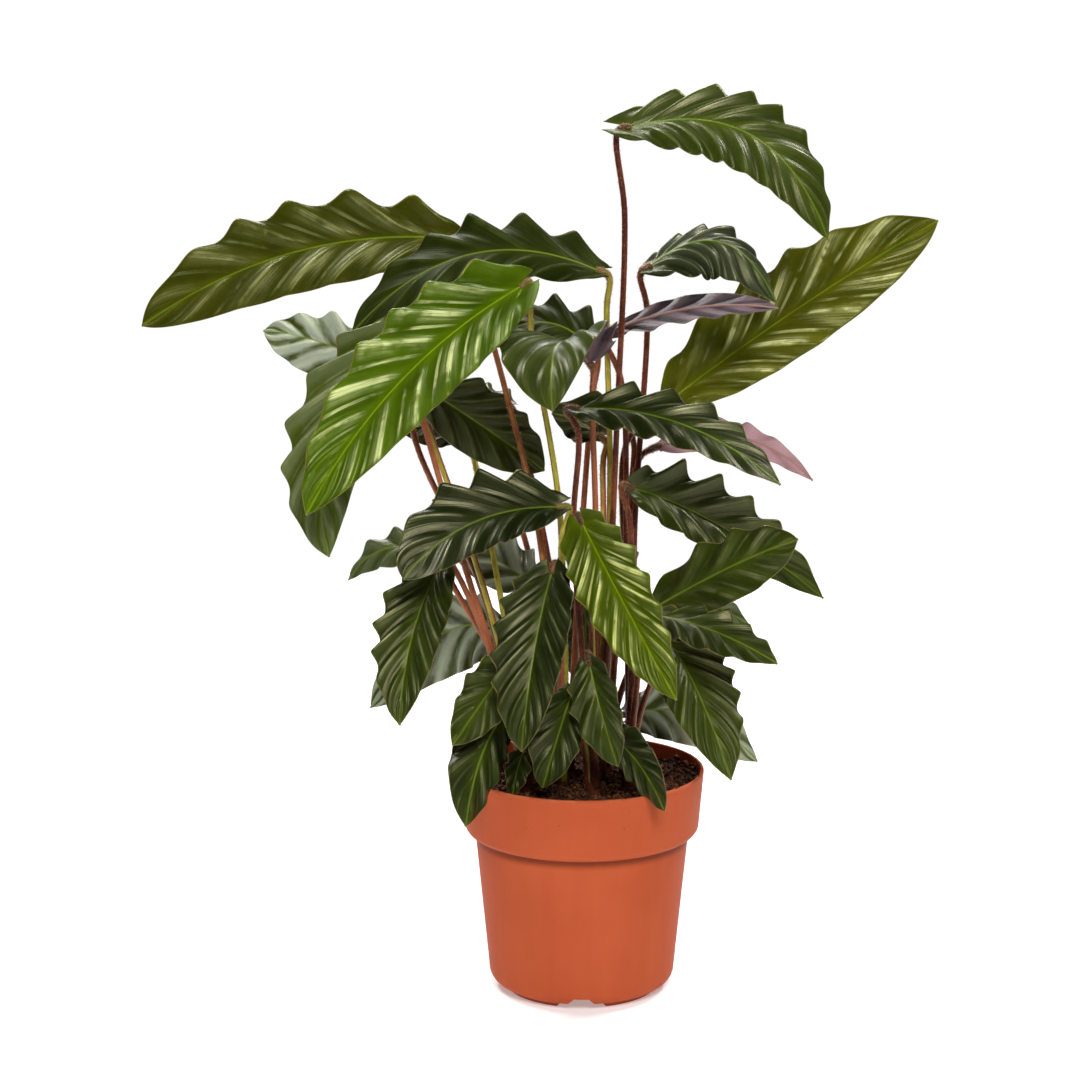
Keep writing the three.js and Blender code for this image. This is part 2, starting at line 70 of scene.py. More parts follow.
# %% Place the camera
camera = bpy.data.objects.new("camera", bpy.data.cameras.new("camera"))
camera.data.lens = 110.8
camera.data.sensor_width = 36
camera.location = (0, -2.5, 0.879)
camera.rotation_euler = (math.radians(90 - 11.8), 0, math.radians(0.75))
bpy.context.scene.collection.objects.link(camera)
bpy.context.scene.camera = camera
print("lens in mm:", camera.data.lens)

# %% [markdown]
# ## Sums on sockets
# A pattern such as the veins of a leaf is a sum of waves and masks. Wired by hand it is a web of Math
# nodes that nobody can read. The class Wire stands for one socket: adding or multiplying it adds the
# Math node and hands back the next socket. The class Finish holds one material with its shader, and
# its method node adds any other node. Numbers that never change are set on the shader itself.

# %% A socket that can be calculated with
class Wire:
    """One output socket of a material. Arithmetic on it adds Math nodes and gives the next socket."""

    def __init__(self, finish, socket):
        self.finish = finish
        self.socket = socket

    def math(self, operation, *values):
        return self.finish.node("ShaderNodeMath", {"operation": operation}, dict(enumerate(values)))

    def __add__(self, other):
        return self.math("ADD", self, other)

    def __radd__(self, other):
        return self.math("ADD", other, self)

    def __sub__(self, other):
        return self.math("SUBTRACT", self, other)

    def __rsub__(self, other):
        return self.math("SUBTRACT", other, self)

    def __mul__(self, other):
        return self.math("MULTIPLY", self, other)

    def __rmul__(self, other):
        return self.math("MULTIPLY", other, self)

    def sine(self):
        return self.math("SINE", self)

    def cosine(self):
        return self.math("COSINE", self)

    def rise(self, low, high):
        """A smooth step: 0 up to low, 1 from high on."""
        values = {"Value": self, "From Min": low, "From Max": high}
        return self.finish.node("ShaderNodeMapRange", {"interpolation_type": "SMOOTHSTEP"}, values)


# %% A material that is being made
class Finish:
    """One material: its Principled shader, and the nodes that are added in front of it."""

    def __init__(self, name, constants):
        self.material = bpy.data.materials.new(name)
        self.material.use_nodes = True
        self.tree = self.material.node_tree
        self.shader = self.tree.nodes["Principled BSDF"]
        for socket, value in constants.items():
            self.shader.inputs[socket].default_value = value

    def feed(self, socket, value):
        """Links a wire to a socket, or sets the socket to a plain value."""
        if isinstance(value, Wire):
            self.tree.links.new(value.socket, socket)
        else:
            socket.default_value = value

    def node(self, kind, settings=None, values=None, output=0):
        """Adds one node: its settings first, then what goes into its sockets."""
        node = self.tree.nodes.new(kind)
        for name, setting in (settings or {}).items():
            setattr(node, name, setting)
        for name, value in (values or {}).items():
            self.feed(node.inputs[name], value)
        return Wire(self, node.outputs[output])

    def place(self):
        """Object coordinates, in metres."""
        return self.node("ShaderNodeTexCoord", output="Object")

    def attribute(self, name):
        """A number that the mesh carries at each of its points."""
        return self.node("ShaderNodeAttribute", {"attribute_name": name}, output="Fac")

    def vector(self, x, y, z):
        """Three numbers as one vector."""
        return self.node("ShaderNodeCombineXYZ", None, {0: x, 1: y, 2: z})

    def stretched(self, vector, height_scale):
        """The same place with its height scaled, so that noise on it is drawn out or pressed flat."""
        values = {"Vector": vector, "Scale": (1, 1, height_scale)}
        return self.node("ShaderNodeMapping", None, values)

    def noise(self, vector, scale, detail=2.0, roughness=0.5):
        """Smooth random clouds from 0 to 1, about 1/scale metres across."""
        values = {"Vector": vector, "Scale": scale, "Detail": detail, "Roughness": roughness}
        return self.node("ShaderNodeTexNoise", None, values)

    def mix(self, share, first, second):
        """A colour between two colours."""
        return self.node("ShaderNodeMix", {"data_type": "RGBA"}, {0: share, 6: first, 7: second}, 2)

    def bump(self, height, depth, strength=1.0):
        """Small relief: a height from 0 to 1, worth depth in metres, becomes a tilted normal."""
        values = {"Height": height, "Distance": depth, "Strength": strength}
        return self.node("ShaderNodeBump", None, values)

    def wear(self, color, roughness, normal):
        """Puts the finished colour, roughness and relief on the shader."""
        self.feed(self.shader.inputs["Base Color"], color)
        self.feed(self.shader.inputs["Roughness"], roughness)
        self.feed(self.shader.inputs["Normal"], normal)
        return self.material


def tint(red, green, blue):
    """A colour read off a picture from 0 to 255, as the linear colour that a shader wants."""
    parts = np.array([red, green, blue]) / 255
    linear = np.where(parts < 0.04045, parts / 12.92, ((parts + 0.055) / 1.055) ** 2.4)
    return (*linear.tolist(), 1.0)


print("mid grey 128 as a linear value:", round(tint(128, 128, 128)[0], 3))

# %% [markdown]
# ## From arrays to a mesh
# Every piece here is a surface that is worked out as whole arrays of points. One function turns such
# arrays into a mesh object, gives it its materials and its numbers for the shaders, hangs it on the
# root body and hides the solids that it stands for.

# %% Put arrays into a mesh and hand it to the frame
def make_piece(name, points, faces, slot, materials, replaces=(), numbers=None, material_of=None):
    """A mesh object from points in millimetres and faces of three or four corners.

    Faces are rows of corner numbers, in one array or a list of arrays. numbers holds one value for
    each point under a name. material_of gives each face its place in the list of materials.
    """
    groups = faces if isinstance(faces, list) else [faces]
    corners = np.concatenate([group.ravel() for group in groups]).astype(np.int32)
    sizes = np.concatenate([np.full(len(group), group.shape[1]) for group in groups])
    starts = np.concatenate([[0], np.cumsum(sizes)[:-1]]).astype(np.int32)
    mesh = bpy.data.meshes.new(name)
    mesh.vertices.add(len(points))
    mesh.vertices.foreach_set("co", (points * MM).astype(np.float32).ravel())
    mesh.loops.add(len(corners))
    mesh.loops.foreach_set("vertex_index", corners)
    mesh.polygons.add(len(sizes))
    mesh.polygons.foreach_set("loop_start", starts)
    mesh.update(calc_edges=True)
    for title, values in (numbers or {}).items():
        layer = mesh.attributes.new(title, "FLOAT", "POINT")
        layer.data.foreach_set("value", np.asarray(values, np.float32).ravel())
    for material in materials:
        mesh.materials.append(material)
    if material_of is not None:
        mesh.polygons.foreach_set("material_index", np.asarray(material_of, np.int32))
    mesh.validate()
    piece = bpy.data.objects.new(name, mesh)
    bpy.context.scene.collection.objects.link(piece)
    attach(piece, "root")
    if replaces:
        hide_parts(*replaces)
    return piece


def wrapped(rows, columns):
    """Four-cornered faces of a tube of points: rings of equal size, each joined to the next."""
    first = np.arange(rows - 1)[:, None] * columns + np.arange(columns)
    second = np.arange(rows - 1)[:, None] * columns + (np.arange(columns) + 1) % columns
    faces = np.stack([first, second, second + columns, first + columns], axis=-1)
    return faces.reshape(-1, 4)


def unit(vectors):
    """Each vector divided by its own length."""
    return vectors / np.linalg.norm(vectors, axis=-1, keepdims=True)


def smooth_rise(values, low, high):
    """A smooth step: 0 up to low, 1 from high on, and t*t*(3 - 2t) between them."""
    t = np.clip((values - low) / (high - low), 0, 1)
    return t * t * (3 - 2 * t)


print("faces of a ring of six on a ring of six:", len(wrapped(2, 6)))

# %% [markdown]
# ## Where each leaf grows
# A calathea leaf is one long midrib with a blade on both sides. Three points give the midrib: its
# base, its middle and its tip. Two arrows lead from the middle to the two edges, as seen from the
# upper side with the tip pointing away. The rest says how many waves run along an edge, how high they
# are, from which shoot the stalk comes and which points it passes. Some leaves also say where they
# are widest, how slender their point is and how large the lobes at their base are. These are the
# values that the solids were made from, so a finer blade made from them lies in the same place.
# The other values belong to the finish, though painted_highlight also sets how high the quilting is.
# tone is how fresh the green is, and skin picks a family of greens. painted_highlight is how bright
# the painted highlight streaks along the crests are, painted_sheen how strong a pale painted sheen
# lies on the leaf, and back how pale it is below. stem leads a stalk from red-brown at 0 to
# yellow-green at 1.

# %% The leaves and the feet of the shoots
leaves = {
    "leaf_01": dict(base=(34, -2, 672), middle=(124, -30, 669), tip=(181, -42, 593),
        left=(17, 21, 20), right=(-17, -20, -21), waves=8, rise=5, lobe=0.45,
        shoot=6, stalk=[(26, 0, 450), (31, -3, 607)], tone=0.45, back=0.2),
    "leaf_02": dict(base=(71, 50, 460), middle=(172, 92, 526), tip=(281, 135, 588),
        left=(-20, -6, 36), right=(21, -23, -20), waves=6, rise=4.5, widest=0.5, point=0.2,
        shoot=9, stalk=[(31, 38, 333), (35, 40, 428)], tone=0.45, skin="olive", stem=0.55, painted_highlight=0.8),
    "leaf_03": dict(base=(51, 34, 564), middle=(106, 34, 582), tip=(148, 28, 536),
        left=(3, 28, 6), right=(-8, -18, -25), waves=6, rise=5,
        shoot=8, stalk=[(40, 26, 351), (49, 37, 530)], tone=0.1, stem=0.12, back=0.25, painted_sheen=0.05),
    "leaf_04": dict(base=(24, 16, 517), middle=(85, 4, 536), tip=(147, -14, 538),
        left=(-4, -21, -7), right=(4, 21, 8), waves=5, rise=3.5,
        shoot=8, stalk=[(34, 22, 336), (29, 16, 479)], tone=0.5, back=0.12),
    "leaf_05": dict(base=(-102, 76, 580), middle=(-230, 92, 566), tip=(-349, 104, 507),
        left=(6, -19, -29), right=(-9, 8, 34), waves=6, rise=5.5, widest=0.5, point=0.1,
        shoot=3, stalk=[(-34, 8, 363), (-60, 34, 468), (-88, 68, 563)],
        tone=0.2, skin="olive", stem=0.15, painted_highlight=0.24),
    "leaf_06": dict(base=(11, 20, 562), middle=(-89, 24, 573), tip=(-178, 36, 511),
        left=(4, -22, -21), right=(-4, 22, 21), waves=6, rise=6.5, widest=0.5,
        shoot=6, stalk=[(21, 22, 384), (18, 25, 532)], tone=0.22, skin="moss", stem=0.3, painted_highlight=0.08),
    "leaf_07": dict(base=(-47, -12, 554), middle=(-135, -82, 492), tip=(-202, -122, 400),
        left=(29, -22, -14), right=(-24, -10, 32), waves=7, rise=4.5,
        shoot=3, stalk=[(-17, -6, 374), (-40, 9, 519)], tone=0.45, skin="bright", stem=0.42, painted_highlight=1),
    "leaf_08": dict(base=(-147, 0, 518), middle=(-192, -30, 440), tip=(-190, -66, 357),
        left=(30, -18, -1), right=(-31, 18, 1), waves=6, rise=5.5, widest=0.5, point=0.3,
        shoot=2, stalk=[(-85, 0, 317), (-123, 4, 452)], tone=0.8, painted_highlight=0.25, painted_sheen=0.1),
    "leaf_09": dict(base=(-137, 46, 473), middle=(-199, 84, 495), tip=(-255, 128, 500),
        left=(-12, -9, -24), right=(8, 5, 21), waves=5, rise=4.5,
        shoot=2, stalk=[(-76, 14, 314), (-116, 22, 431)], tone=0.6, stem=0.3, painted_sheen=0.85),
    "leaf_10": dict(base=(-122, 18, 472), middle=(-74, 44, 435), tip=(-30, 52, 401),
        left=(18, 0, 23), right=(-13, -8, -21), waves=5, rise=3, lobe=0.05,
        shoot=2, stalk=[(-78, 24, 311), (-130, 7, 440)], tone=0.2, stem=0.35, painted_highlight=0.12),
    "leaf_11": dict(base=(4, -2, 495), middle=(-19, -58, 516), tip=(-22, -108, 475),
        left=(34, -13, 15), right=(-46, 1, 4), waves=5, rise=4.5, lobe=0.15,
        shoot=6, stalk=[(10, 4, 372), (7, -1, 466)], tone=0.4, painted_highlight=0.06),
    "leaf_12": dict(base=(5, 52, 499), middle=(-34, 72, 515), tip=(-78, 92, 492),
        left=(-5, -15, -18), right=(6, 16, 16), waves=4, rise=5.5,
        shoot=4, stalk=[(-2, 40, 332), (7, 53, 457)], tone=0.15, skin="moss", painted_sheen=0),
    "leaf_13": dict(base=(12, 30, 433), middle=(-5, 34, 444), tip=(-24, 30, 450),
        left=(-6, -13, -12), right=(6, 12, 13), waves=3, rise=3,
        shoot=6, stalk=[(16, 16, 369), (16, 26, 416)], tone=0.2, stem=0.2, painted_highlight=0.25),
    "leaf_14": dict(base=(-4, -20, 462), middle=(75, -56, 456), tip=(146, -88, 417),
        left=(13, 19, 13), right=(-12, -20, -10), waves=6, rise=5.5, point=0.12,
        shoot=5, stalk=[(-7, -14, 367), (-4, -18, 446)], tone=0.12, stem=0.12, painted_highlight=0.2),
    "leaf_15": dict(base=(38, 1, 397), middle=(108, 24, 362), tip=(189, 46, 301),
        left=(14, 7, 25), right=(-3, -22, -16), waves=6, rise=6, point=0.12,
        shoot=8, stalk=[(38, 4, 277), (36, 0, 373)], tone=0.3),
    "leaf_16": dict(base=(59, -14, 309), middle=(115, -56, 350), tip=(159, -92, 377),
        left=(-7, 10, 21), right=(9, -7, -22), waves=4, rise=3.5,
        shoot=7, stalk=[(38, -12, 241), (53, -13, 295)], tone=0.4, stem=0.3, painted_highlight=0.2),
    "leaf_17": dict(base=(60, 46, 422), middle=(125, 76, 423), tip=(183, 104, 384),
        left=(1, -9, -12), right=(0, 8, 11), waves=5, rise=3.5, lobe=0.1,
        shoot=8, stalk=[(37, 26, 304), (44, 36, 414)], tone=0.3, back=0.8),
    "leaf_18": dict(base=(57, -44, 307), middle=(100, -84, 304), tip=(144, -116, 288),
        left=(13, 13, 8), right=(-13, -13, -9), waves=5, rise=5,
        shoot=7, stalk=[(41, -26, 237), (46, -37, 292)], tone=0.3, stem=0.25),
    "leaf_19": dict(base=(65, -30, 285), middle=(88, -60, 250), tip=(112, -92, 192),
        left=(27, 2, 12), right=(-25, -20, -3), waves=7, rise=4.5, point=0.12,
        shoot=7, stalk=[(45, -18, 225), (60, -24, 272)], tone=0.4, painted_highlight=0.28),
    "leaf_20": dict(base=(67, 30, 308), middle=(102, 54, 294), tip=(134, 76, 270),
        left=(-1, 10, 11), right=(-1, -9, -13), waves=4, rise=3.5,
        shoot=9, stalk=[(31, 34, 229), (57, 30, 298)], tone=0.4, painted_sheen=0.15),
    "leaf_21": dict(base=(36, 30, 211), middle=(90, 66, 200), tip=(142, 100, 153),
        left=(3, 12, 19), right=(-7, -8, -22), waves=5, rise=4,
        shoot=9, stalk=[(24, 34, 182), (31, 32, 201)], tone=0.5, painted_sheen=0.55),
    "leaf_22": dict(base=(0, -36, 377), middle=(32, -78, 323), tip=(70, -108, 258),
        left=(19, -14, 19), right=(-25, -14, -10), waves=7, rise=4.5, point=0.1,
        shoot=5, stalk=[(8, -26, 253), (3, -28, 359)], tone=0.4, skin="lime", stem=0.5, painted_highlight=0.9),
    "leaf_23": dict(base=(-23, -46, 341), middle=(-36, -82, 286), tip=(-45, -108, 218),
        left=(23, -21, 6), right=(-31, 2, 4), waves=7, rise=4.5,
        shoot=3, stalk=[(-16, -18, 243), (-19, -34, 325)], tone=0.15, painted_highlight=0.2),
    "leaf_24": dict(base=(-19, -34, 389), middle=(-84, -60, 381), tip=(-133, -90, 345),
        left=(15, -19, -14), right=(-16, 12, 26), waves=5, rise=6.5, widest=0.5,
        shoot=3, stalk=[(-13, -12, 265), (-16, -24, 362)], tone=0, stem=0.6, painted_highlight=0.12),
    "leaf_25": dict(base=(-109, -26, 341), middle=(-129, -58, 291), tip=(-137, -86, 232),
        left=(23, -18, 4), right=(-27, -1, 7), waves=6, rise=5, point=0.12,
        shoot=1, stalk=[(-66, -16, 258), (-95, -20, 333)], tone=0.35, painted_highlight=0.32),
    "leaf_26": dict(base=(-112, 24, 339), middle=(-154, 44, 340), tip=(-185, 62, 311),
        left=(0, -9, -13), right=(1, 10, 11), waves=4, rise=4,
        shoot=2, stalk=[(-64, 14, 250), (-106, 20, 330)], tone=0.5, painted_sheen=0.1),
    "leaf_27": dict(base=(-66, 38, 278), middle=(-116, 64, 264), tip=(-170, 84, 201),
        left=(12, -8, -31), right=(-10, 11, 20), waves=5, rise=5,
        shoot=2, stalk=[(-46, 26, 215), (-61, 36, 263)], tone=0.35, painted_sheen=0.6),
    "leaf_28": dict(base=(-41, 34, 318), middle=(-76, 54, 337), tip=(-118, 62, 376),
        left=(-15, -9, -15), right=(15, 12, 14), waves=4, rise=3.5,
        shoot=4, stalk=[(-16, 28, 231), (-35, 30, 299)], tone=0.4, stem=0.4, painted_sheen=0.55),
    "leaf_29": dict(base=(-57, -40, 267), middle=(-76, -70, 246), tip=(-97, -98, 220),
        left=(17, -3, -11), right=(-13, -5, 17), waves=4, rise=3,
        shoot=1, stalk=[(-45, -24, 204), (-51, -33, 251)], tone=0.35, stem=0.3, painted_highlight=0.2),
    "leaf_30": dict(base=(-59, -35, 228), middle=(-77, -66, 201), tip=(-87, -108, 160),
        left=(14, 10, -17), right=(-22, 0, 10), waves=4, rise=4,
        shoot=1, stalk=[(-45, -24, 187), (-52, -30, 215)], tone=0.2),
    "leaf_31": dict(base=(-8, -42, 246), middle=(-19, -58, 214), tip=(-30, -66, 178),
        left=(18, -9, -3), right=(-19, -4, 8), waves=4, rise=3.5,
        shoot=5, stalk=[(3, -30, 198), (-4, -34, 234)], tone=0.15, stem=0.3),
    "leaf_32": dict(base=(6, -54, 272), middle=(15, -68, 238), tip=(27, -76, 198),
        left=(14, -14, 8), right=(-21, -1, -5), waves=4, rise=3.5,
        shoot=5, stalk=[(9, -36, 204), (7, -44, 253)], tone=0.25),
    "leaf_33": dict(base=(21, -46, 215), middle=(44, -80, 200), tip=(62, -104, 171),
        left=(7, -8, 18), right=(-6, 9, -17), waves=4, rise=4,
        shoot=7, stalk=[(29, -28, 188), (24, -38, 205)], tone=0.15),
    "leaf_34": dict(base=(-45, -40, 199), middle=(-50, -50, 186), tip=(-53, -56, 169),
        left=(10, -5, 0), right=(-8, -7, 6), waves=3, rise=2.5,
        shoot=1, stalk=[(-42, -26, 171), (-45, -34, 188)], tone=0.1),
    "leaf_35": dict(base=(-98, 78, 423), middle=(-121, 86, 430), tip=(-145, 92, 426),
        left=(-3, -7, -14), right=(4, 11, 11), waves=3, rise=2.5,
        shoot=2, stalk=[(-60, 24, 285), (-82, 58, 395)], tone=0, stem=0.6),
    "leaf_36": dict(base=(3, 56, 303), middle=(3, 74, 260), tip=(8, 84, 208),
        left=(21, -3, 0), right=(-21, -3, -2), waves=4, rise=3,
        shoot=4, stalk=[(-8, 34, 205), (-3, 44, 283)], tone=0.4, stem=0.4),
    "leaf_37": dict(base=(-60, 62, 452), middle=(-96, 104, 458), tip=(-128, 146, 428),
        left=(-16, -14, 8), right=(17, 14, -3), waves=4, rise=4,
        shoot=4, stalk=[(-22, 48, 300), (-48, 56, 428)], tone=0.4),
    "leaf_38": dict(base=(22, 62, 330), middle=(26, 108, 318), tip=(38, 150, 268),
        left=(-18, 2, 4), right=(18, -4, 3), waves=4, rise=3.5,
        shoot=9, stalk=[(20, 44, 240), (22, 54, 316)], tone=0.5, stem=0.3),
    "leaf_39": dict(base=(-32, 60, 272), middle=(-40, 104, 270), tip=(-46, 146, 224),
        left=(-20, -3, 4), right=(20, 3, 4), waves=4, rise=3.5,
        shoot=4, stalk=[(-18, 44, 220), (-28, 54, 262)], tone=0.3),
    "leaf_40": dict(base=(44, 62, 436), middle=(80, 104, 430), tip=(112, 146, 396),
        left=(-15, 14, 6), right=(16, -13, 2), waves=4, rise=4,
        shoot=9, stalk=[(26, 46, 300), (40, 52, 418)], tone=0.3, stem=0.2),
    "leaf_41": dict(base=(-56, 74, 362), middle=(-84, 114, 368), tip=(-108, 154, 338),
        left=(-16, -10, 7), right=(17, 11, 2), waves=4, rise=4,
        shoot=4, stalk=[(-22, 48, 240), (-46, 66, 345)], tone=0.4),
}

shoot_feet = {
    1: (-44, -22), 2: (-40, 10), 3: (-17, -8),
    4: (-12, 28), 5: (8, -28), 6: (13, 0),
    7: (36, -20), 8: (40, 10), 9: (16, 34),
}
print("leaves:", len(leaves), "shoots:", len(shoot_feet))

# %% [markdown]
# ## The blade of a leaf
# The real blade is thin and springy. Its side veins leave the midrib at a slant, and the skin between
# two of them is puffed up like a quilt. Towards the edge the puffs grow into waves, high on one side
# of the leaf where they are low on the other. The upper crests of the edge are drawn together to
# points. A flat leaf with a picture on it would show none of this from the side, and pushing points
# about by hand would have to be done for each of the 41 leaves. So the blade is a function of two
# parameters: s runs from the base to the tip, and u from -1 at the left edge to 1 at the right edge.

# %% The midrib and the outline
def midrib(leaf, s):
    """Points of the midrib and its direction there.

    Point = (1-s)^2 base + 2 s (1-s) bend + s^2 tip, where bend = 2 middle - (base + tip) / 2, so that
    the curve passes the middle at s = 0.5.
    """
    base, middle, tip = (np.array(leaf[key], float) for key in ("base", "middle", "tip"))
    bend = 2 * middle - (base + tip) / 2
    s = np.asarray(s, float)[..., None]
    place = (1 - s) ** 2 * base + 2 * s * (1 - s) * bend + s ** 2 * tip
    return place, unit(2 * (1 - s) * (bend - base) + 2 * s * (tip - bend))


def midrib_length(leaf):
    """Length of the midrib: the sum of 200 short steps along it."""
    place = midrib(leaf, np.linspace(0, 1, 201))[0]
    return np.linalg.norm(np.diff(place, axis=0), axis=1).sum()


def outline(s, widest, point):
    """Width of a blade at s as a share of its full width.

    (s/widest)^0.4 * ((1-s)/(1-widest))^taper with taper = 0.4 (1-widest)/widest, times a factor that
    draws the end to a point: 1 + point times the square root of (1-s) / (1+point-s).
    """
    body = (s / widest) ** 0.4 * ((1 - s) / (1 - widest)) ** (0.4 * (1 - widest) / widest)
    return body * (1 + point) * ((1 - s) / (1 + point - s)) ** 0.5


print("leaf_01 is", round(midrib_length(leaves["leaf_01"])), "mm long")

# %% The values of a blade, in millimetres or as shares
WIDEST = 0.42      # where a blade is widest, from 0 at its base to 1 at its tip
POINT = 0.06       # how slender its tip is, where 0 would be round
BLUNT = 6.5        # the least half width at the base
RUFFLE_LEAN = 0.8  # how far the waves of an edge lean from square to the blade towards upright
VEIN_SLANT = 1.05  # how far the side veins lean towards the tip, where 1 would be half a right angle
STRAY = 0.45       # how far the veins stray from even spacing, as an angle of their turn
UNEVEN = 0.18      # by which share of its height one wave differs from the next
PAINTED_HIGHLIGHT = 0.15       # how bright the painted highlight streaks of a leaf are, where the list doesn't say
PLEAT = 1.3        # height of the quilting between two side veins of a smooth dark leaf
STRIPED_LEAF_PLEAT = 3.3  # and of a young leaf with bright painted highlight streaks
GATHER = 0.3       # how far the crests of an edge are drawn together, as a share of their height
SCALLOP = 0.6      # how far the edge swings out between two side veins, as a share of the same
ARCH = 2.2         # how far each half of the blade bulges between midrib and edge
LOBE = 0.25        # how far the lobes at the base reach back past the stalk, as a share of the width
FULLER = 1.2       # the rounder lobes of this finer blade reach this much further than the solid's
LOBE_REACH = 0.06  # how far along the blade the lobes have shrunk to a third
LOBE_CURL = 0.5    # how far the lobes curl up, as a share of how far they reach back
CEILING = cad_box[1][2] / MM - 6  # above this height, which only the tallest leaf reaches, crests are
PRESSED = 0.25                    # pressed down by this share of what stands above it
print("crests are pressed down above", round(CEILING), "mm")

# %% The surface of a blade
def blade_surface(leaf, s, u, seed):
    """Middle surface of a blade and the numbers that its finish needs.

    Point = midrib(s) + sideways * width * reach + upwards * (width * lift + pleat + arch + curl)
    + ruffle * wave + along * (gather - lobe), where ruffle is upwards leaned towards the sky.
    width = outline(s) |u|, at the base at least 6.5 mm. wave = rise * fade * |u|^1.4 * sin(turn), and
    turn makes one full turn for each wave along s, slanted towards the tip, half a turn apart on the
    two sides. pleat = high * (exp(2.2 (cos t - 1)) + 0.3 exp(5 (cos(t - 2.7) - 1)) - 0.35), with
    t = turn - pi/2: a narrow ridge along each crest of the waves and a lower one beside it, higher on
    leaves with brighter painted highlight streaks. scallop swings the edge out at the crests. lobe =
    1.2 * its share of the width * exp(-s / 0.06) * sin(0.75 pi x) with x = (|u| - 0.4) / 0.6. Last,
    what stands above the ceiling is pressed down a little.
    """
    rng = np.random.default_rng(seed)
    left, right = np.array(leaf["left"], float), np.array(leaf["right"], float)
    along = midrib(leaf, 0.5)[1]
    side = right - left
    side = unit(side - side @ along * along)
    face = np.cross(side, along)

    place, heading = midrib(leaf, s)
    side_here = unit(side - (heading @ side)[:, None] * heading)
    face_here = np.cross(side_here, heading)
    sky = np.array([0, 0, 1.0]) - heading[:, 2:] * heading
    ruffle = unit(face_here + RUFFLE_LEAN * sky)

    is_left = u < 0
    size = np.where(is_left, np.linalg.norm(left), np.linalg.norm(right))
    reach = np.where(is_left, left @ side, right @ side)
    lift = np.where(is_left, left @ face, right @ face)
    far = np.abs(u)
    s = s[:, None]
    blunt = np.minimum(BLUNT / size, 0.3) * (1 - s)
    full = outline(s, leaf.get("widest", WIDEST), leaf.get("point", POINT))
    full = np.maximum(np.maximum(full, blunt), 1.0 / size)
    width = full * far

    slope = VEIN_SLANT * leaf["waves"] * size / midrib_length(leaf)
    count = leaf["waves"] * s + slope * (1 - far) * (1.3 - 0.3 * far)
    wobble = rng.uniform(0, 6.3, 6)
    stray = STRAY * np.sin(1.7 * count + np.where(is_left, wobble[3], wobble[4]))
    turn = 2 * np.pi * count + np.where(is_left, 0, np.pi) + stray
    fade = np.clip(np.minimum(10 * s, 1.8 * (1 - s)), 0, 1)
    uneven = 1 - UNEVEN + UNEVEN * np.sin(2.3 * count + np.where(is_left, wobble[0], wobble[1]))
    wave = leaf["rise"] * fade * uneven * far ** 1.4 * np.sin(turn)
    gather = GATHER * leaf["rise"] * fade * far ** 3 * np.cos(turn)
    crest = turn - np.pi / 2
    scallop = SCALLOP * leaf["rise"] * fade * uneven * far ** 3 * np.cos(crest)
    x = np.clip((far - 0.4) / 0.6, 0, 1)
    lobe = FULLER * leaf.get("lobe", LOBE) * size
    lobe = lobe * np.exp(-s / LOBE_REACH) * np.sin(0.75 * np.pi * x)
    small = np.minimum(1, size / 25)
    ends = np.clip(np.minimum(9 * s, 7 * (1 - s)), 0, 1)
    ridges = np.exp(2.2 * (np.cos(crest) - 1)) + 0.3 * np.exp(5 * (np.cos(crest - 2.7) - 1))
    high = PLEAT + (STRIPED_LEAF_PLEAT - PLEAT) * min(1, 2 * leaf.get("painted_highlight", PAINTED_HIGHLIGHT))
    pleat = high * small * ends * (ridges - 0.35) * smooth_rise(far, 0, 0.22) * (1 - far) ** 0.3
    arch = ARCH * small * fade * full * 4 * far * (1 - far)

    swing = scallop * np.sign(u)
    points = place[:, None] + side_here[:, None] * (width * reach + swing)[..., None]
    rise = width * lift + pleat + arch + LOBE_CURL * lobe
    points = points + face_here[:, None] * rise[..., None] + ruffle[:, None] * wave[..., None]
    points = points + heading[:, None] * (gather - lobe)[..., None]
    points[..., 2] -= PRESSED * np.maximum(points[..., 2] - CEILING, 0)
    numbers = {
        "rib": width * size,
        "margin": (full - width) * size,
        "vein": turn / (2 * np.pi),
        "along": np.broadcast_to(s, width.shape),
    }
    return points, numbers


# %% Where a blade is sampled, and which way it faces
def surface_normals(points):
    """Unit normals of a grid of points, the cross product of its two central differences."""
    return unit(np.cross(np.gradient(points, axis=1), np.gradient(points, axis=0)))


ROWS_PER_WAVE = 24
COLUMNS = 57


def blade_steps(leaf):
    """Where the blade is sampled: 24 rows for each wave, and 57 columns that crowd to the midrib.

    The rows stand closer near the base and the tip: s = t - 0.75 sin(2 pi t) / (2 pi) for even t.
    """
    t = np.linspace(0, 1, ROWS_PER_WAVE * leaf["waves"] + 1)
    s = t - 0.75 * np.sin(2 * np.pi * t) / (2 * np.pi)
    even = np.linspace(-1, 1, COLUMNS)
    return s, np.sign(even) * np.abs(even) ** 1.3


rows, columns = (len(steps) for steps in blade_steps(leaves["leaf_01"]))
print("leaf_01 is sampled", rows, "times along and", columns, "times across")

# %% [markdown]
# ## Two skins and a rim
# A blade is about half a millimetre thick and thins out to its edge. Under it the midrib stands out as
# a round rib that tapers to the tip, and above it lies as a fine raised line. Each ring of points
# runs over the upper skin from left to right and back under the lower skin, so the edge is closed and
# the two skins can have different materials. The Solidify modifier could give the thickness, but not
# the rib. A renderer splits each face in two, from its first corner to its third. On half of the faces
# the corners are counted from the next one on, which turns the split, so that it runs along the
# ridges everywhere and no ridge glitters.

# %% Make the mesh of a blade
MIDDLE_HALF = 0.3  # half the thickness at the midrib, in millimetres
EDGE_HALF = 0.12   # and at the edge
LINE_HEIGHT = 0.35
RIB_DEPTH = 1.2


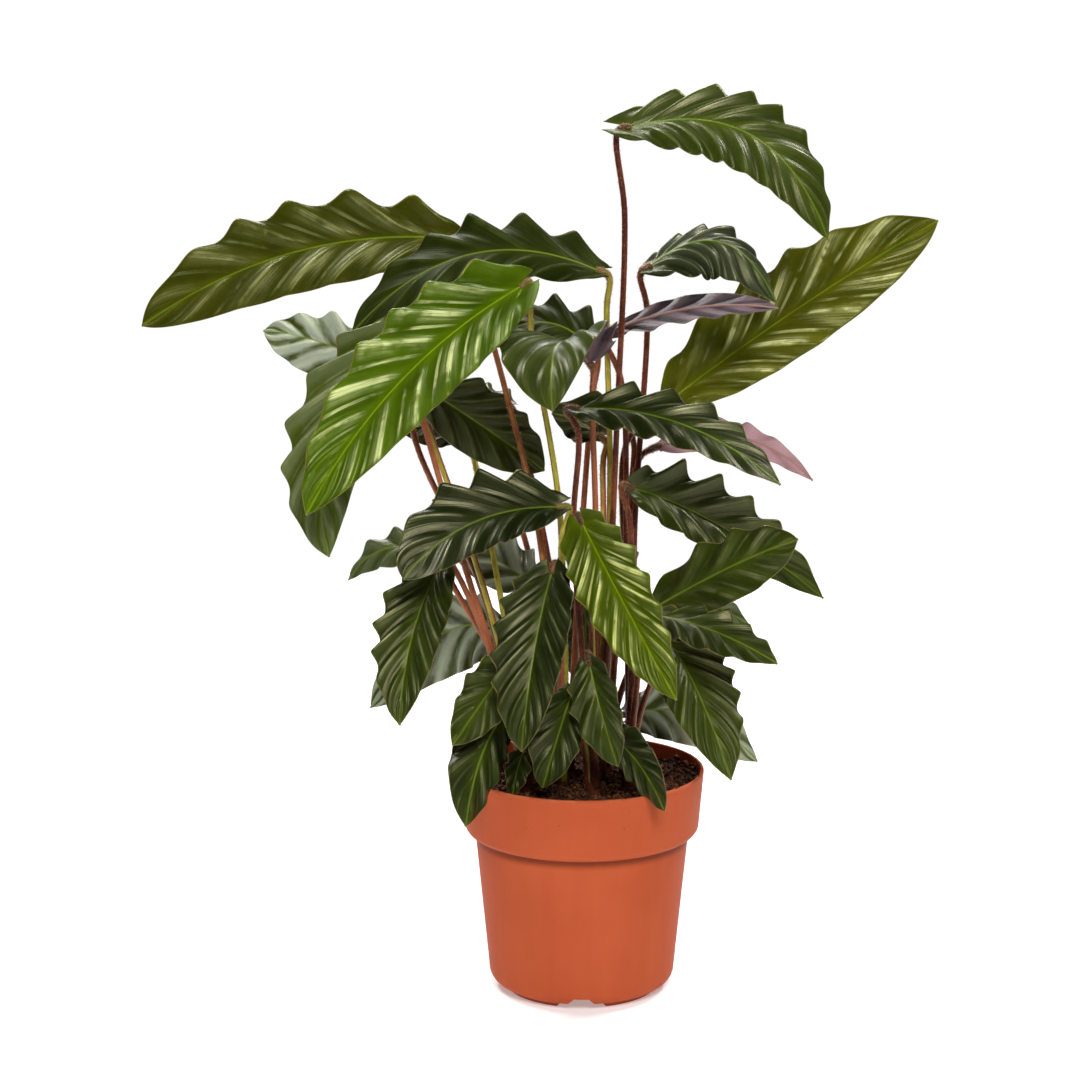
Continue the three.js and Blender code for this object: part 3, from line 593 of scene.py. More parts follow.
def blade_mesh(leaf, seed):
    """Points, faces, numbers and the material of each face of one blade.

    Upper skin = surface + normal * (half + line), lower skin = surface - normal * (half + rib).
    half goes from 0.3 mm at the midrib to 0.12 mm at the edge. line = 0.35 (1 - 0.6 s)
    exp(-(rib distance/0.7)^2) and rib = 1.2 (1 - 0.75 s) exp(-(rib distance/1.3)^2).
    """
    s, u = blade_steps(leaf)
    middle, numbers = blade_surface(leaf, s, u, seed)
    normals = surface_normals(middle)
    half = EDGE_HALF + (MIDDLE_HALF - EDGE_HALF) * (1 - np.abs(u)) * np.ones_like(numbers["rib"])
    line = LINE_HEIGHT * np.exp(-(numbers["rib"] / 0.7) ** 2) * (1 - 0.6 * s[:, None])
    rib = RIB_DEPTH * np.exp(-(numbers["rib"] / 1.3) ** 2) * (1 - 0.75 * s[:, None])
    upper = middle + normals * (half + line)[..., None]
    lower = middle - normals * (half + rib)[..., None]
    rings = np.concatenate([upper, lower[:, ::-1]], axis=1)

    rows, columns = len(s), len(u)
    around = 2 * columns
    faces = wrapped(rows, around)
    k = np.arange(around)
    below = np.tile(k >= columns - 1, rows - 1)
    left_half = np.tile(np.minimum(k, around - 2 - k) < columns // 2, rows - 1)
    turned_split = below ^ left_half
    faces[turned_split] = np.roll(faces[turned_split], -1, axis=1)
    j = np.arange(columns - 1)
    under = around - 1 - j
    last = (rows - 1) * around
    foot = np.stack([j, under, under - 1, j + 1], axis=-1)
    tip = np.stack([j, j + 1, under - 1, under], axis=-1) + last
    doubled = {name: np.concatenate([v, v[:, ::-1]], axis=1) for name, v in numbers.items()}
    all_faces = np.concatenate([faces, foot, tip])
    material_of = np.concatenate([below, np.ones(2 * len(j), bool)])
    return rings.reshape(-1, 3), all_faces, doubled, material_of


points, faces, numbers, material_of = blade_mesh(leaves["leaf_01"], 1)
print("leaf_01 has", len(faces), "faces, its ribs reach", round(float(numbers["rib"].max())), "mm out")

# %% [markdown]
# ## The upper skin
# The upper skin is a deep, slightly velvety green. Part of its shine along the quilting is painted:
# lighter streaks along the crests are painted highlights, and on some leaves a pale painted sheen lies
# in patches. The green is fresher near the midrib and clouded, and the crests are painted a little
# fresher and the grooves a little darker, as painted light and shade. The midrib is a fine
# yellow-green line. The very edge is a thin pale line, partly the leaf's own brownish margin and
# partly painted rim light. Fine side veins run close together all the way across. The colour could be
# painted as a flat picture, but the mesh carries the distance from the midrib, the distance from the
# edge and the count of veins, so each mark is a mask on a number.

# %% A finish for upper skins
def upper_skin(name, deep, fresh, line, painted_highlight, gleam, shine=0.4, roughness=0.33):
    """Green from deep to fresh by tone and clouds, painted highlight streaks on the crests, and fine
    veins.

    ridge = (1 + cos(2 pi (vein - 0.27))) / 2 is 1 along each crest. The crests are painted a little
    fresher and the grooves a little darker, as painted light and shade. A painted highlight streak is
    where the ridge, roughened by fibres that run with the veins, rises above 0.87, with a soft tail on
    one side. A narrower one lies on the lower ridge beside it. Patches and silky threads break both
    up, and they end before the base, the midrib and the margin. A pale painted sheen lies in patches,
    mostly on the crests, and the edge is a thin pale line, partly the leaf's own margin and partly
    painted rim light. gleam is the colour of the shine, shine its strength.
    """
    finish = Finish(name, {
        "Specular IOR Level": shine,
        "Specular Tint": tint(*gleam),
        "Sheen Weight": 0.02,
        "Sheen Roughness": 0.4,
    })
    place = finish.place()
    rib = finish.attribute("rib")
    vein = finish.attribute("vein")
    along = finish.attribute("along")
    margin = finish.attribute("margin")
    turn = vein * (2 * math.pi)
    clouds = finish.noise(place, 38, 3)
    grain = finish.noise(place, 900, 2, 0.6)
    fibres = finish.noise(finish.vector(vein * 10, rib * 0.09, clouds * 2), 1.0, 3, 0.6)
    patches = finish.noise(finish.vector(vein * 1.3, rib * 0.05, clouds * 3), 1.0, 2)
    silk = finish.noise(finish.vector(vein * 34, rib * 0.05, clouds), 1.0, 2, 0.6)
    threads = (turn * 13 + clouds * 3).sine()
    ridge, tail, beside = (0.5 + 0.5 * (turn - phase).cosine() for phase in (1.7, 2.2, 4.35))

    # Painted light and shade: the crests are painted a little fresher, the grooves a little darker.
    share = finish.attribute("tone") + 0.5 * (clouds - 0.5) + 0.16 * (ridge - 0.5)
    share = share + 0.12 * (fibres - 0.5) + 0.2 * (1 - rib.rise(1.0, 9.0))
    color = finish.mix(share.rise(-0.1, 1.1), tint(*deep), tint(*fresh))
    # A painted sheen: pale patches, mostly on the crests, stand in for bright surroundings reflected
    # at a glancing angle.
    painted_sheen_patches = (ridge + 1.2 * (patches - 0.5) + 0.4 * (fibres - 0.5)).rise(-0.1, 0.85)
    color = finish.mix(finish.attribute("painted_sheen") * painted_sheen_patches, color, tint(178, 188, 164))
    # Painted highlights: lighter streaks along the crests stand in for the light that the leaf's shine
    # catches.
    highlight_stripe = (ridge + 0.12 * (fibres - 0.5)).rise(0.87, 1.0) + 0.25 * tail.rise(0.5, 1.0)
    highlight_stripe = highlight_stripe + 0.6 * (beside + 0.06 * (fibres - 0.5)).rise(0.955, 1.0)
    highlight_stripe = highlight_stripe * patches.rise(0.33, 0.62) * (0.2 + 1.6 * silk.rise(0.25, 0.75))
    highlight_stripe = highlight_stripe * rib.rise(2, 12) * margin.rise(0.3, 5) * along.rise(0.02, 0.35)
    color = finish.mix(finish.attribute("painted_highlight") * highlight_stripe, color, tint(*painted_highlight))
    rib_line = 1 - rib.rise(0.35, 1.25)
    color = finish.mix(0.85 * rib_line * (1 - along * 0.5), color, tint(*line))
    # A pale edge: partly the leaf's own brownish margin, partly painted rim light.
    color = finish.mix(0.55 * (1 - margin.rise(0.15, 0.75)), color, tint(140, 120, 66))

    gloss = roughness + 0.14 * (clouds - 0.5) + 0.2 * (fibres - 0.5) - 0.06 * highlight_stripe
    height = 0.5 + 0.08 * threads + 0.5 * (fibres - 0.5) + 0.3 * (grain - 0.5)
    return finish.wear(color, gloss, finish.bump(height, 0.0003, 0.8))


upper_skins = {
    "plain": upper_skin("blade_green", deep=(20, 29, 5), fresh=(72, 86, 12), line=(112, 134, 40),
                        painted_highlight=(170, 168, 124), gleam=(240, 234, 184)),
    "moss": upper_skin("blade_moss_green", deep=(20, 29, 1), fresh=(56, 67, 5), line=(110, 130, 38),
                       painted_highlight=(150, 156, 92), gleam=(226, 232, 160), shine=0.14, roughness=0.42),
    "bright": upper_skin("blade_bright_green", deep=(31, 54, 0), fresh=(94, 122, 2),
                         line=(150, 172, 30), painted_highlight=(212, 220, 150), gleam=(226, 232, 140)),
    "lime": upper_skin("blade_lime_green", deep=(38, 54, 0), fresh=(92, 108, 3),
                       line=(150, 168, 30), painted_highlight=(214, 218, 132), gleam=(226, 232, 140)),
    "olive": upper_skin("blade_olive_green", deep=(46, 49, 1), fresh=(96, 99, 4),
                        line=(120, 146, 30), painted_highlight=(204, 206, 140), gleam=(230, 232, 160)),
}
print("upper skins:", sorted(upper_skins))

# %% [markdown]
# ## The lower skin
# Below, the leaf is wine-purple, duller than above, with raised ribs that are paler and pinker. It
# shows where a leaf turns its back, at its curled base, and from behind. It gets less gloss and more
# sheen, because the real one is covered with a fine down.

# %% A finish for lower skins
def lower_skin():
    """Purple, paler along the midrib and the side veins, with the same fine veins as relief."""
    finish = Finish("blade_underside", {
        "Specular IOR Level": 0.4,
        "Sheen Weight": 0.08,
        "Sheen Roughness": 0.5,
        "Sheen Tint": tint(225, 200, 215),
    })
    place = finish.place()
    vein = finish.attribute("vein")
    clouds = finish.noise(place, 45, 3)
    threads = (vein * (2 * math.pi * 13) + clouds * 3).sine()
    crest = 0.5 + 0.5 * (vein * (2 * math.pi) - 1.6).cosine()
    share = finish.attribute("back") + 0.5 * (clouds - 0.5) + 0.2 * (0.5 - crest) + 0.05 * threads
    color = finish.mix(share.rise(-0.1, 1.15), tint(30, 20, 28), tint(180, 136, 140))
    rib_line = 1 - finish.attribute("rib").rise(0.6, 1.9)
    edge = 1 - finish.attribute("margin").rise(0.15, 0.8)
    color = finish.mix(0.8 * rib_line, color, tint(156, 112, 98))
    color = finish.mix(0.6 * edge, color, tint(120, 104, 70))
    height = 0.5 + 0.35 * threads + 0.2 * finish.noise(place, 700, 2)
    return finish.wear(color, 0.52 + 0.2 * (clouds - 0.5), finish.bump(height, 0.00025, 0.8))


underside = lower_skin()
print("lower skin:", underside.name)

# %% Make the 41 blades
slots = {"plain": "blade", "moss": "blade", "bright": "blade_bright", "lime": "blade_bright",
         "olive": "blade_olive"}
for number, (name, leaf) in enumerate(leaves.items(), 1):
    points, faces, numbers, material_of = blade_mesh(leaf, number)
    for key, usual in (("tone", 0.4), ("back", 0.2), ("painted_highlight", PAINTED_HIGHLIGHT), ("painted_sheen", 0.0)):
        numbers[key] = np.full(len(points), leaf.get(key, usual))
    skin = leaf.get("skin", "plain")
    make_piece(f"blade_{number:02d}", points, faces, slots[skin], [upper_skins[skin], underside],
               [name], numbers, material_of)
print("blades made:", number)

# %% [markdown]
# ## Stalks
# Each leaf stands on its own stalk. It is thick and flattened where it wraps the shoot, round and
# slender higher up, and just below the blade it has a swollen knee, the joint with which the plant
# turns its leaf to the light. A curve object with a bevel would give an even tube, but not the knee,
# the flat foot or the streaks that follow the stalk, so the stalk is a profile that is carried along
# a path: a ring of points around each point of a smooth route.

# %% The route of a stalk
STALK_START = 168  # height in millimetres at which the stalks of a shoot part, just in the soil
SPAN_STEPS = 14


def smooth_route(knots, steps):
    """A smooth curve through all knots, with steps points for each span.

    A centripetal Catmull-Rom curve: the knots are spaced by the square root of their distance, the
    slopes at each knot come from its two neighbours, and each span is a cubic between two slopes.
    """
    knots = np.array(knots, float)
    ends = [2 * knots[:1] - knots[1:2], knots, 2 * knots[-1:] - knots[-2:-1]]
    knots = np.concatenate(ends)
    gaps = np.linalg.norm(np.diff(knots, axis=0), axis=1)[:, None] ** 0.5
    legs = np.diff(knots, axis=0)
    before, here, after = gaps[:-2], gaps[1:-1], gaps[2:]
    start = (legs[:-2] / before - (legs[:-2] + legs[1:-1]) / (before + here)) * here + legs[1:-1]
    stop = (legs[2:] / after - (legs[1:-1] + legs[2:]) / (here + after)) * here + legs[1:-1]
    t = np.linspace(0, 1, steps, endpoint=False)[None, :, None]
    first, second = knots[1:-2, None], knots[2:-1, None]
    spans = (2 * t ** 3 - 3 * t ** 2 + 1) * first + (t ** 3 - 2 * t ** 2 + t) * start[:, None]
    spans = spans + (3 * t ** 2 - 2 * t ** 3) * second + (t ** 3 - t ** 2) * stop[:, None]
    return np.concatenate([spans.reshape(-1, 3), knots[-2:-1]])


def stalk_route(leaf, foot):
    """The stalk's path: its foot in the soil, its own points, and a knee that leads into the blade."""
    base = np.array(leaf["base"], float)
    heading = midrib(leaf, 0.0)[1]
    knots = [(*foot, STALK_START), *leaf["stalk"], base - 9 * heading, base + 1.5 * heading]
    return smooth_route(knots, SPAN_STEPS)


def path_frame(route, across):
    """Directions along a path, and two square to it; the first keeps close to a fixed direction."""
    tangent = unit(np.gradient(route, axis=0))
    first = unit(across - (tangent @ across)[:, None] * tangent)
    return tangent, first, np.cross(tangent, first)


route = stalk_route(leaves["leaf_01"], shoot_feet[6])
print("the tallest stalk is", round(np.linalg.norm(np.diff(route, axis=0), axis=1).sum()), "mm long")

# %% The tube of a stalk
STALK_SIDES = 12


def stalk_tube(leaf, foot):
    """Rings of points around the route, with the numbers for the finish.

    Radius = 3.35 mm at the foot, falling smoothly to 2.25 mm at 0.6 of the length, plus a knee of
    0.7 mm that is centred 7 mm from the stalk's end, less 0.5 mm at the very end. The ring is an
    ellipse, a quarter wider than deep at the foot.
    """
    sides = STALK_SIDES
    route = stalk_route(leaf, foot)
    across = unit(np.cross([0, 0, 1.0], midrib(leaf, 0.0)[1]))
    _, first, second = path_frame(route, across)
    height = np.concatenate([[0], np.cumsum(np.linalg.norm(np.diff(route, axis=0), axis=1))])
    share = height / height[-1]
    below = height[-1] - height
    radius = 2.25 + 1.1 * (1 - smooth_rise(share, 0, 0.6))
    radius = radius + 0.7 * np.exp(-((below - 7) / 4.5) ** 2) - 0.5 * smooth_rise(2.5 - below, 0, 2.5)
    flat = 1 + 0.25 * (1 - smooth_rise(share, 0, 0.35))
    angle = np.linspace(0, 2 * np.pi, sides, endpoint=False)
    ring = np.cos(angle)[None, :, None] * (first * flat[:, None])[:, None]
    ring = ring + np.sin(angle)[None, :, None] * second[:, None]
    points = route[:, None] + radius[:, None, None] * ring
    numbers = {
        "height": np.repeat(height, sides),
        "turn": np.tile(np.cos(angle), len(route)),
        "below": np.repeat(below, sides),
        "stem": np.full(len(route) * sides, leaf.get("stem", 0.0)),
    }
    return route, radius, points.reshape(-1, 3), wrapped(len(route), sides), numbers


def capped(rows, sides):
    """The two ends of a tube as fans of triangles, so that it is closed."""
    j = np.arange(1, sides - 1)
    foot = np.stack([np.zeros_like(j), j + 1, j], axis=-1)
    top = np.stack([np.zeros_like(j), j, j + 1], axis=-1) + (rows - 1) * sides
    return np.concatenate([foot, top])


print("the tallest stalk has", len(stalk_tube(leaves["leaf_01"], shoot_feet[6])[2]), "points")

# %% The sheath that wraps the stalks of a shoot
def sheath(foot):
    """The wrapped foot of a shoot: radius 6.6 mm in the soil, 3.6 mm at its top, with three folds."""
    rows, sides = 16, 24
    climb = np.linspace(0, 1, rows)
    angle = np.linspace(0, 2 * np.pi, sides, endpoint=False)
    taper = 6.6 - 3.0 * smooth_rise(climb, 0.35, 1)
    radius = taper[:, None] * (0.93 + 0.06 * np.cos(3 * angle + 2.5 * climb[:, None]))
    z = np.broadcast_to(150 + 54 * climb[:, None], radius.shape)
    points = np.stack([foot[0] + radius * np.cos(angle), foot[1] + radius * np.sin(angle), z], axis=-1)
    count = rows * sides
    numbers = {
        "height": np.repeat(54 * climb - 18, sides),
        "turn": np.tile(np.cos(angle), rows),
        "below": np.full(count, 100.0),
        "stem": np.full(count, 0.05),
    }
    return points.reshape(-1, 3), wrapped(rows, sides), capped(rows, sides), numbers


print("a sheath has", len(sheath(shoot_feet[1])[0]), "points")

# %% [markdown]
# ## Hairs
# Short red-brown hairs stand off the stalks and catch the light as a fuzzy edge. Blender's particle
# hair would do, but it doesn't live in the mesh. A hair two millimetres long needs little more than
# its outline, so each is a pyramid of four triangles, and all hairs of a shoot are made in one go.

# %% Grow hairs on a route
HAIRS_PER_MM = 4.8


def hairs(route, radius, across, seed):
    """Pyramids on a stalk: three corners on its skin, and a point out along the hair.

    Direction = outwards + 0.55 * along the stalk + a little chance. Length = 0.8 to 2.1 mm, and the
    foot is 0.2 mm wide.
    """
    rng = np.random.default_rng(seed)
    tangent, first, second = path_frame(route, across)
    length = np.linalg.norm(np.diff(route, axis=0), axis=1).sum()
    count = int(HAIRS_PER_MM * length)
    where = rng.uniform(0, len(route) - 1.02, count)
    low = where.astype(int)
    share = (where - low)[:, None]
    centre = route[low] * (1 - share) + route[low + 1] * share
    angle = rng.uniform(0, 2 * np.pi, count)[:, None]
    outwards = np.cos(angle) * first[low] + np.sin(angle) * second[low]
    direction = unit(outwards + 0.55 * tangent[low] + rng.normal(0, 0.22, (count, 3)))
    root = centre + outwards * (radius[low][:, None] - 0.1)
    size = rng.uniform(0.8, 2.1, count)[:, None]
    wide = unit(np.cross(direction, tangent[low])) * 0.1
    deep = unit(np.cross(direction, wide)) * 0.1
    points = np.stack([root + wide, root - 0.5 * wide + deep, root - 0.5 * wide - deep,
                       root + direction * size], axis=1)
    corners = np.array([[0, 2, 1], [0, 1, 3], [1, 2, 3], [2, 0, 3]])
    faces = (np.arange(count) * 4)[:, None, None] + corners
    return points.reshape(-1, 3), faces.reshape(-1, 3)


print("hairs on ten centimetres of stalk:", round(100 * HAIRS_PER_MM))

# %% [markdown]
# ## The skin of a stalk
# Stalks are red-brown, streaked along their length and dark near the soil. One side of each is painted
# paler, a painted highlight where the light would catch it. A few are yellow-green on one side, the
# leaf that stands on them being young. The knee below the blade is a little greener. The streaks are
# noise on coordinates that run with the stalk.

# %% Finishes for stalks and hairs
def stalk_skin():
    """Dark red-brown to orange-brown, yellow-green on one side by the number stem, in streaks."""
    finish = Finish("stalk_skin", {"Specular IOR Level": 0.45, "Specular Tint": tint(240, 200, 170)})
    height = finish.attribute("height")
    turn = finish.attribute("turn")
    streaks = finish.noise(finish.vector(turn * 2.2, height * 0.03, 0.0), 3.0, 4, 0.65)
    blotches = finish.noise(finish.place(), 120, 3)
    slow = finish.noise(finish.place(), 22, 2)
    # 0.25 * turn paints one side of the stalk paler: a painted highlight.
    share = (streaks + 0.8 * (slow - 0.5) + 0.25 * turn).rise(0.15, 0.95)
    red = finish.mix(share, tint(70, 26, 20), tint(178, 104, 68))
    red = finish.mix(0.75 * (1 - height.rise(-5, 60)), red, tint(48, 20, 14))
    green = finish.mix(streaks.rise(0.3, 0.75), tint(146, 138, 34), tint(202, 196, 84))
    share = finish.attribute("stem") + 0.3 * turn + 0.2 * (streaks - 0.5)
    color = finish.mix(share.rise(0.38, 0.56), red, green)
    knee = 1 - finish.attribute("below").rise(7, 16)
    color = finish.mix(0.75 * knee, color, tint(66, 64, 34))
    relief = finish.bump(streaks * 0.7 + blotches * 0.3, 0.0003, 0.7)
    return finish.wear(color, 0.38 + 0.2 * (blotches - 0.5), relief)


def hair_skin():
    """Rusty hairs, each stretch of stalk a little lighter or darker than the next."""
    finish = Finish("hair_rust", {"Specular IOR Level": 0.4})
    place = finish.place()
    blotches = finish.noise(place, 160, 2)
    color = finish.mix(blotches, tint(176, 98, 70), tint(240, 192, 160))
    return finish.wear(color, 0.5 + 0.2 * (blotches - 0.5), finish.bump(blotches, 0.0001))


stalk_red = stalk_skin()
hair_rust = hair_skin()
print("stalk finishes:", stalk_red.name, hair_rust.name)

# %% Make the nine shoots
STALK_SPREAD = 3  # how far from the middle of its shoot each stalk stands at its foot, in millimetres
for shoot, foot in shoot_feet.items():
    members = [leaf for leaf in leaves.values() if leaf["shoot"] == shoot]
    points, quads, caps, numbers = sheath(foot)
    points, quads, caps, numbers = [points], [quads], [caps], [numbers]
    down_points, down_faces = [], []
    for i, leaf in enumerate(members):
        angle = 2 * math.pi * (i + 0.5) / len(members)
        own_foot = (foot[0] + STALK_SPREAD * math.cos(angle), foot[1] + STALK_SPREAD * math.sin(angle))
        route, radius, tube, faces, values = stalk_tube(leaf, own_foot)
        start = sum(map(len, points))
        points.append(tube)
        quads.append(faces + start)
        caps.append(capped(len(route), STALK_SIDES) + start)
        numbers.append(values)
        across = unit(np.cross([0, 0, 1.0], midrib(leaf, 0.0)[1]))
        down, corners = hairs(route, radius, across, 100 * shoot + i)
        down_faces.append(corners + sum(map(len, down_points)))
        down_points.append(down)
    merged = {key: np.concatenate([values[key] for values in numbers]) for key in numbers[0]}
    make_piece(f"stalks_{shoot}", np.concatenate(points),
               [np.concatenate(quads), np.concatenate(caps)], "stalk", [stalk_red],
               [f"shoot_{shoot}"], merged)
    make_piece(f"hairs_{shoot}", np.concatenate(down_points), np.concatenate(down_faces),
               "stalk", [hair_rust])
    hair_count = sum(map(len, down_faces)) // 4
    print("shoot", shoot, "carries", len(members), "leaves and", hair_count, "hairs")

# %% [markdown]
# ## The pot
# The pot is a moulded nursery pot of thin terracotta-coloured plastic. Its wide band round the top
# steps in to a body that narrows to a rounded corner, and below it stands on a low foot ring. Four
# notches in the foot ring and the corner let water out, and so do four holes in the floor. The wall
# is one profile turned round the upright axis; each corner of the profile is softened with a small
# curve, because moulded plastic has no knife edges. The notches and the holes are cut with a Boolean,
# since they cross the profile.

# %% The pot's profile
def soften(corners, sizes, steps=5):
    """A profile whose corners are rounded.

    Each corner becomes a quadratic curve between the two points that lie size before it and after it,
    never further than 0.45 of the way to the next corner.
    """
    corners = np.array(corners, float)
    before, here, after = corners[:-2], corners[1:-1], corners[2:]
    size = np.array(sizes, float)[:, None]
    to_before = np.linalg.norm(before - here, axis=1)[:, None]
    to_after = np.linalg.norm(after - here, axis=1)[:, None]
    enter = here + (before - here) * np.minimum(size / to_before, 0.45)
    leave = here + (after - here) * np.minimum(size / to_after, 0.45)
    t = np.linspace(0, 1, steps)[None, :, None]
    curve = (1 - t) ** 2 * enter[:, None] + 2 * t * (1 - t) * here[:, None] + t ** 2 * leave[:, None]
    return np.concatenate([corners[:1], curve.reshape(-1, 2), corners[-1:]])


CORNER = 12.5  # radius of the rounded lower corner, in millimetres
turns = np.radians(np.linspace(-90, 0, 9)[1:])
lower_corner = np.column_stack([60 + CORNER * np.cos(turns), 16 + CORNER * np.sin(turns)]).tolist()
pot_corners = [  # distance from the axis and height: from under the floor up the outside, down inside
    (0, 0), (16, 0), (18, 10.5), (55, 10.5), (56, 0), (59.5, 0), (60, 3.5),
    *lower_corner, (83, 122), (84, 125), (88.5, 126.5), (91, 130), (95, 174.5), (94.4, 176),
    (92.5, 176), (88.5, 130), (80.5, 125), (70, 19), (60, 13), (0, 13),
]
pot_softness = [0.5, 1, 1, 0.5, 0.5, 0.4, *[0.6] * len(lower_corner), 1.5, 1, 1.5, 1.2, 0.5, 0.5,
                0.4, 2, 2, 3, 2]
pot_profile = soften(pot_corners, pot_softness)
print("profile points:", len(pot_profile), "radius and height in mm:", pot_profile.max(axis=0).round())

# %% Turn the profile
def fans(sides, last, pole):
    """Triangles that close the first ring and the one that starts at last, to two points from pole."""
    j = np.arange(sides)
    after = (j + 1) % sides
    foot = np.stack([np.full(sides, pole), after, j], axis=-1)
    top = np.stack([np.full(sides, pole + 1), last + j, last + after], axis=-1)
    return np.concatenate([foot, top])


def turned(profile, sides):
    """A closed solid of revolution: rings for the points off the axis, fans to the two on it."""
    angle = np.linspace(0, 2 * np.pi, sides, endpoint=False)
    ring = np.stack([np.cos(angle), np.sin(angle)], axis=-1)
    body = profile[1:-1]
    points = np.concatenate([
        (body[:, 0, None, None] * ring[None]),
        np.broadcast_to(body[:, 1, None, None], (len(body), sides, 1)),
    ], axis=-1).reshape(-1, 3)
    poles = np.array([[0, 0, profile[0, 1]], [0, 0, profile[-1, 1]]])
    caps = fans(sides, (len(body) - 1) * sides, len(points))
    return np.concatenate([points, poles]), wrapped(len(body), sides), caps


POT_SIDES = 160
print("faces of the pot before it is cut:", sum(map(len, turned(pot_profile, POT_SIDES)[1:])))

# %% Cutters for the notches and the holes
def prism_faces(start, size):
    """The two ends and the sides of a prism whose corners are counted from start."""
    ends = [[start + j for j in range(size)][::-1], [start + size + j for j in range(size)]]
    after = [(j + 1) % size for j in range(size)]
    return ends + [[start + j, start + after[j], start + size + after[j], start + size + j]
                   for j in range(size)]


def prisms(outline_points, inner, outer, count, first_turn):
    """Cutters that point outwards: an outline in width and height, carried from inner to outer."""
    shape = np.array(outline_points, float)
    size = len(shape)
    slab = np.concatenate([
        np.column_stack([shape[:, 0], np.full(size, -inner), shape[:, 1]]),
        np.column_stack([shape[:, 0], np.full(size, -outer), shape[:, 1]]),
    ])
    points, faces = [], []
    for i in range(count):
        a = first_turn + i * 2 * math.pi / count
        spin = np.array([[math.cos(a), math.sin(a), 0], [-math.sin(a), math.cos(a), 0], [0, 0, 1]])
        points.append(slab @ spin)
        faces += prism_faces(i * 2 * size, size)
    return np.concatenate(points), faces


def posts(ring, radius, count, first_turn):
    """Upright round cutters, evenly spaced on a ring, from 1 mm under the pot up to 16 mm."""
    sides = 24
    circle = np.linspace(0, 2 * np.pi, sides, endpoint=False)
    points, faces = [], []
    for i in range(count):
        a = first_turn + i * 2 * math.pi / count
        x = ring * math.cos(a) + radius * np.cos(circle)
        y = ring * math.sin(a) + radius * np.sin(circle)
        points += [np.column_stack([x, y, np.full(sides, z)]) for z in (-1.0, 16.0)]
        faces += prism_faces(i * 2 * sides, sides)
    return np.concatenate(points), faces


def cut(piece, points, faces):
    """Takes a cutter away from a piece with a Boolean, and throws the cutter away."""
    mesh = bpy.data.meshes.new("cutter")
    mesh.from_pydata((points * MM).tolist(), [], faces)
    cutter = bpy.data.objects.new("cutter", mesh)
    bpy.context.scene.collection.objects.link(cutter)
    step = piece.modifiers.new("cut", "BOOLEAN")
    step.operation = "DIFFERENCE"
    step.solver = "EXACT"
    step.object = cutter
    bpy.context.view_layer.update()
    graph = bpy.context.evaluated_depsgraph_get()
    result = bpy.data.meshes.new_from_object(piece.evaluated_get(graph))
    piece.modifiers.clear()
    piece.data = result
    bpy.data.objects.remove(cutter)


notches = prisms([(-20, -1), (20, -1), (16, 3.5), (11.5, 3.5), (6, 10.5), (-6, 10.5), (-11.5, 3.5),
                  (-16, 3.5)], inner=50, outer=80, count=4, first_turn=0)
drain_holes = posts(ring=36, radius=4.5, count=4, first_turn=math.pi / 4)
print("corners of the cutters:", len(notches[0]), "and", len(drain_holes[0]))

# %% [markdown]
# ## The pot's plastic
# The plastic is a warm orange-brown with a soft, even shine. Looked at closely it isn't flat: the
# mould leaves a very fine grain and faint upright flow marks, the lip is paler in patches along its
# top, and a few specks of peat cling to it. Under the band lies a dark line of painted shade, where
# the wall steps in. A glossy shader would put a hard white spot on each side of the pot, so this one
# is rough, and the grain and the scuffs vary it a little.

# %% A finish for the plastic
LIP = 0.176    # height of the lip, in metres
BAND = 0.125   # height of the foot of the band


def plastic_skin():
    """Terracotta colour, with clouds, upright flow marks, a paler lip top and specks of peat dust.

    A dark line of painted shade lies under the band, where the wall steps in and little light comes.
    """
    finish = Finish("pot_terracotta", {"Specular IOR Level": 0.07})
    place = finish.place()
    height = finish.node("ShaderNodeSeparateXYZ", None, {0: place}, "Z")
    flow = finish.noise(finish.stretched(place, 0.06), 70, 3)
    clouds = finish.noise(place, 16, 3)
    grain = finish.noise(place, 1400, 2, 0.6)
    share = 0.5 + 0.7 * (clouds - 0.5) + 0.35 * (flow - 0.5) + 0.12 * (grain - 0.5)
    color = finish.mix(share.rise(0.0, 1.0), tint(168, 72, 40), tint(188, 90, 54))
    # The top of the lip is paler in patches.
    paler_lip_top = height.rise(LIP - 0.0025, LIP - 0.0002) * finish.noise(place, 60, 3).rise(0.35, 0.6)
    color = finish.mix(0.5 * paler_lip_top, color, tint(206, 112, 74))
    # Painted shade: a dark line just under the band, where the wall steps in.
    under = height.rise(BAND - 0.009, BAND - 0.0015) * (1 - height.rise(BAND - 0.0005, BAND + 0.0012))
    color = finish.mix(0.7 * under, color, tint(88, 34, 18))
    dust = finish.noise(place, 420, 1).rise(0.73, 0.78) * height.rise(BAND - 0.005, LIP - 0.006)
    color = finish.mix(0.7 * dust, color, tint(74, 40, 28))
    scuffs = finish.noise(finish.stretched(place, 8), 30, 4, 0.7).rise(0.55, 0.75)
    gloss = 0.6 + 0.12 * (clouds - 0.5) + 0.08 * scuffs + 0.06 * (grain - 0.5)
    relief = finish.bump(grain * 0.5 + flow * 0.35 + scuffs * 0.15, 0.00012, 0.6)
    return finish.wear(color, gloss, relief)


terracotta = plastic_skin()
print("pot finish:", terracotta.name)

# %% Make the pot
points, quads, caps = turned(pot_profile, POT_SIDES)
pot = make_piece("pot_wall", points, [quads, caps], "pot_plastic", [terracotta], ["pot"])
cut(pot, *notches)
cut(pot, *drain_holes)
pot.data.set_sharp_from_angle(angle=math.radians(38))
print("pot faces:", len(pot.data.polygons))

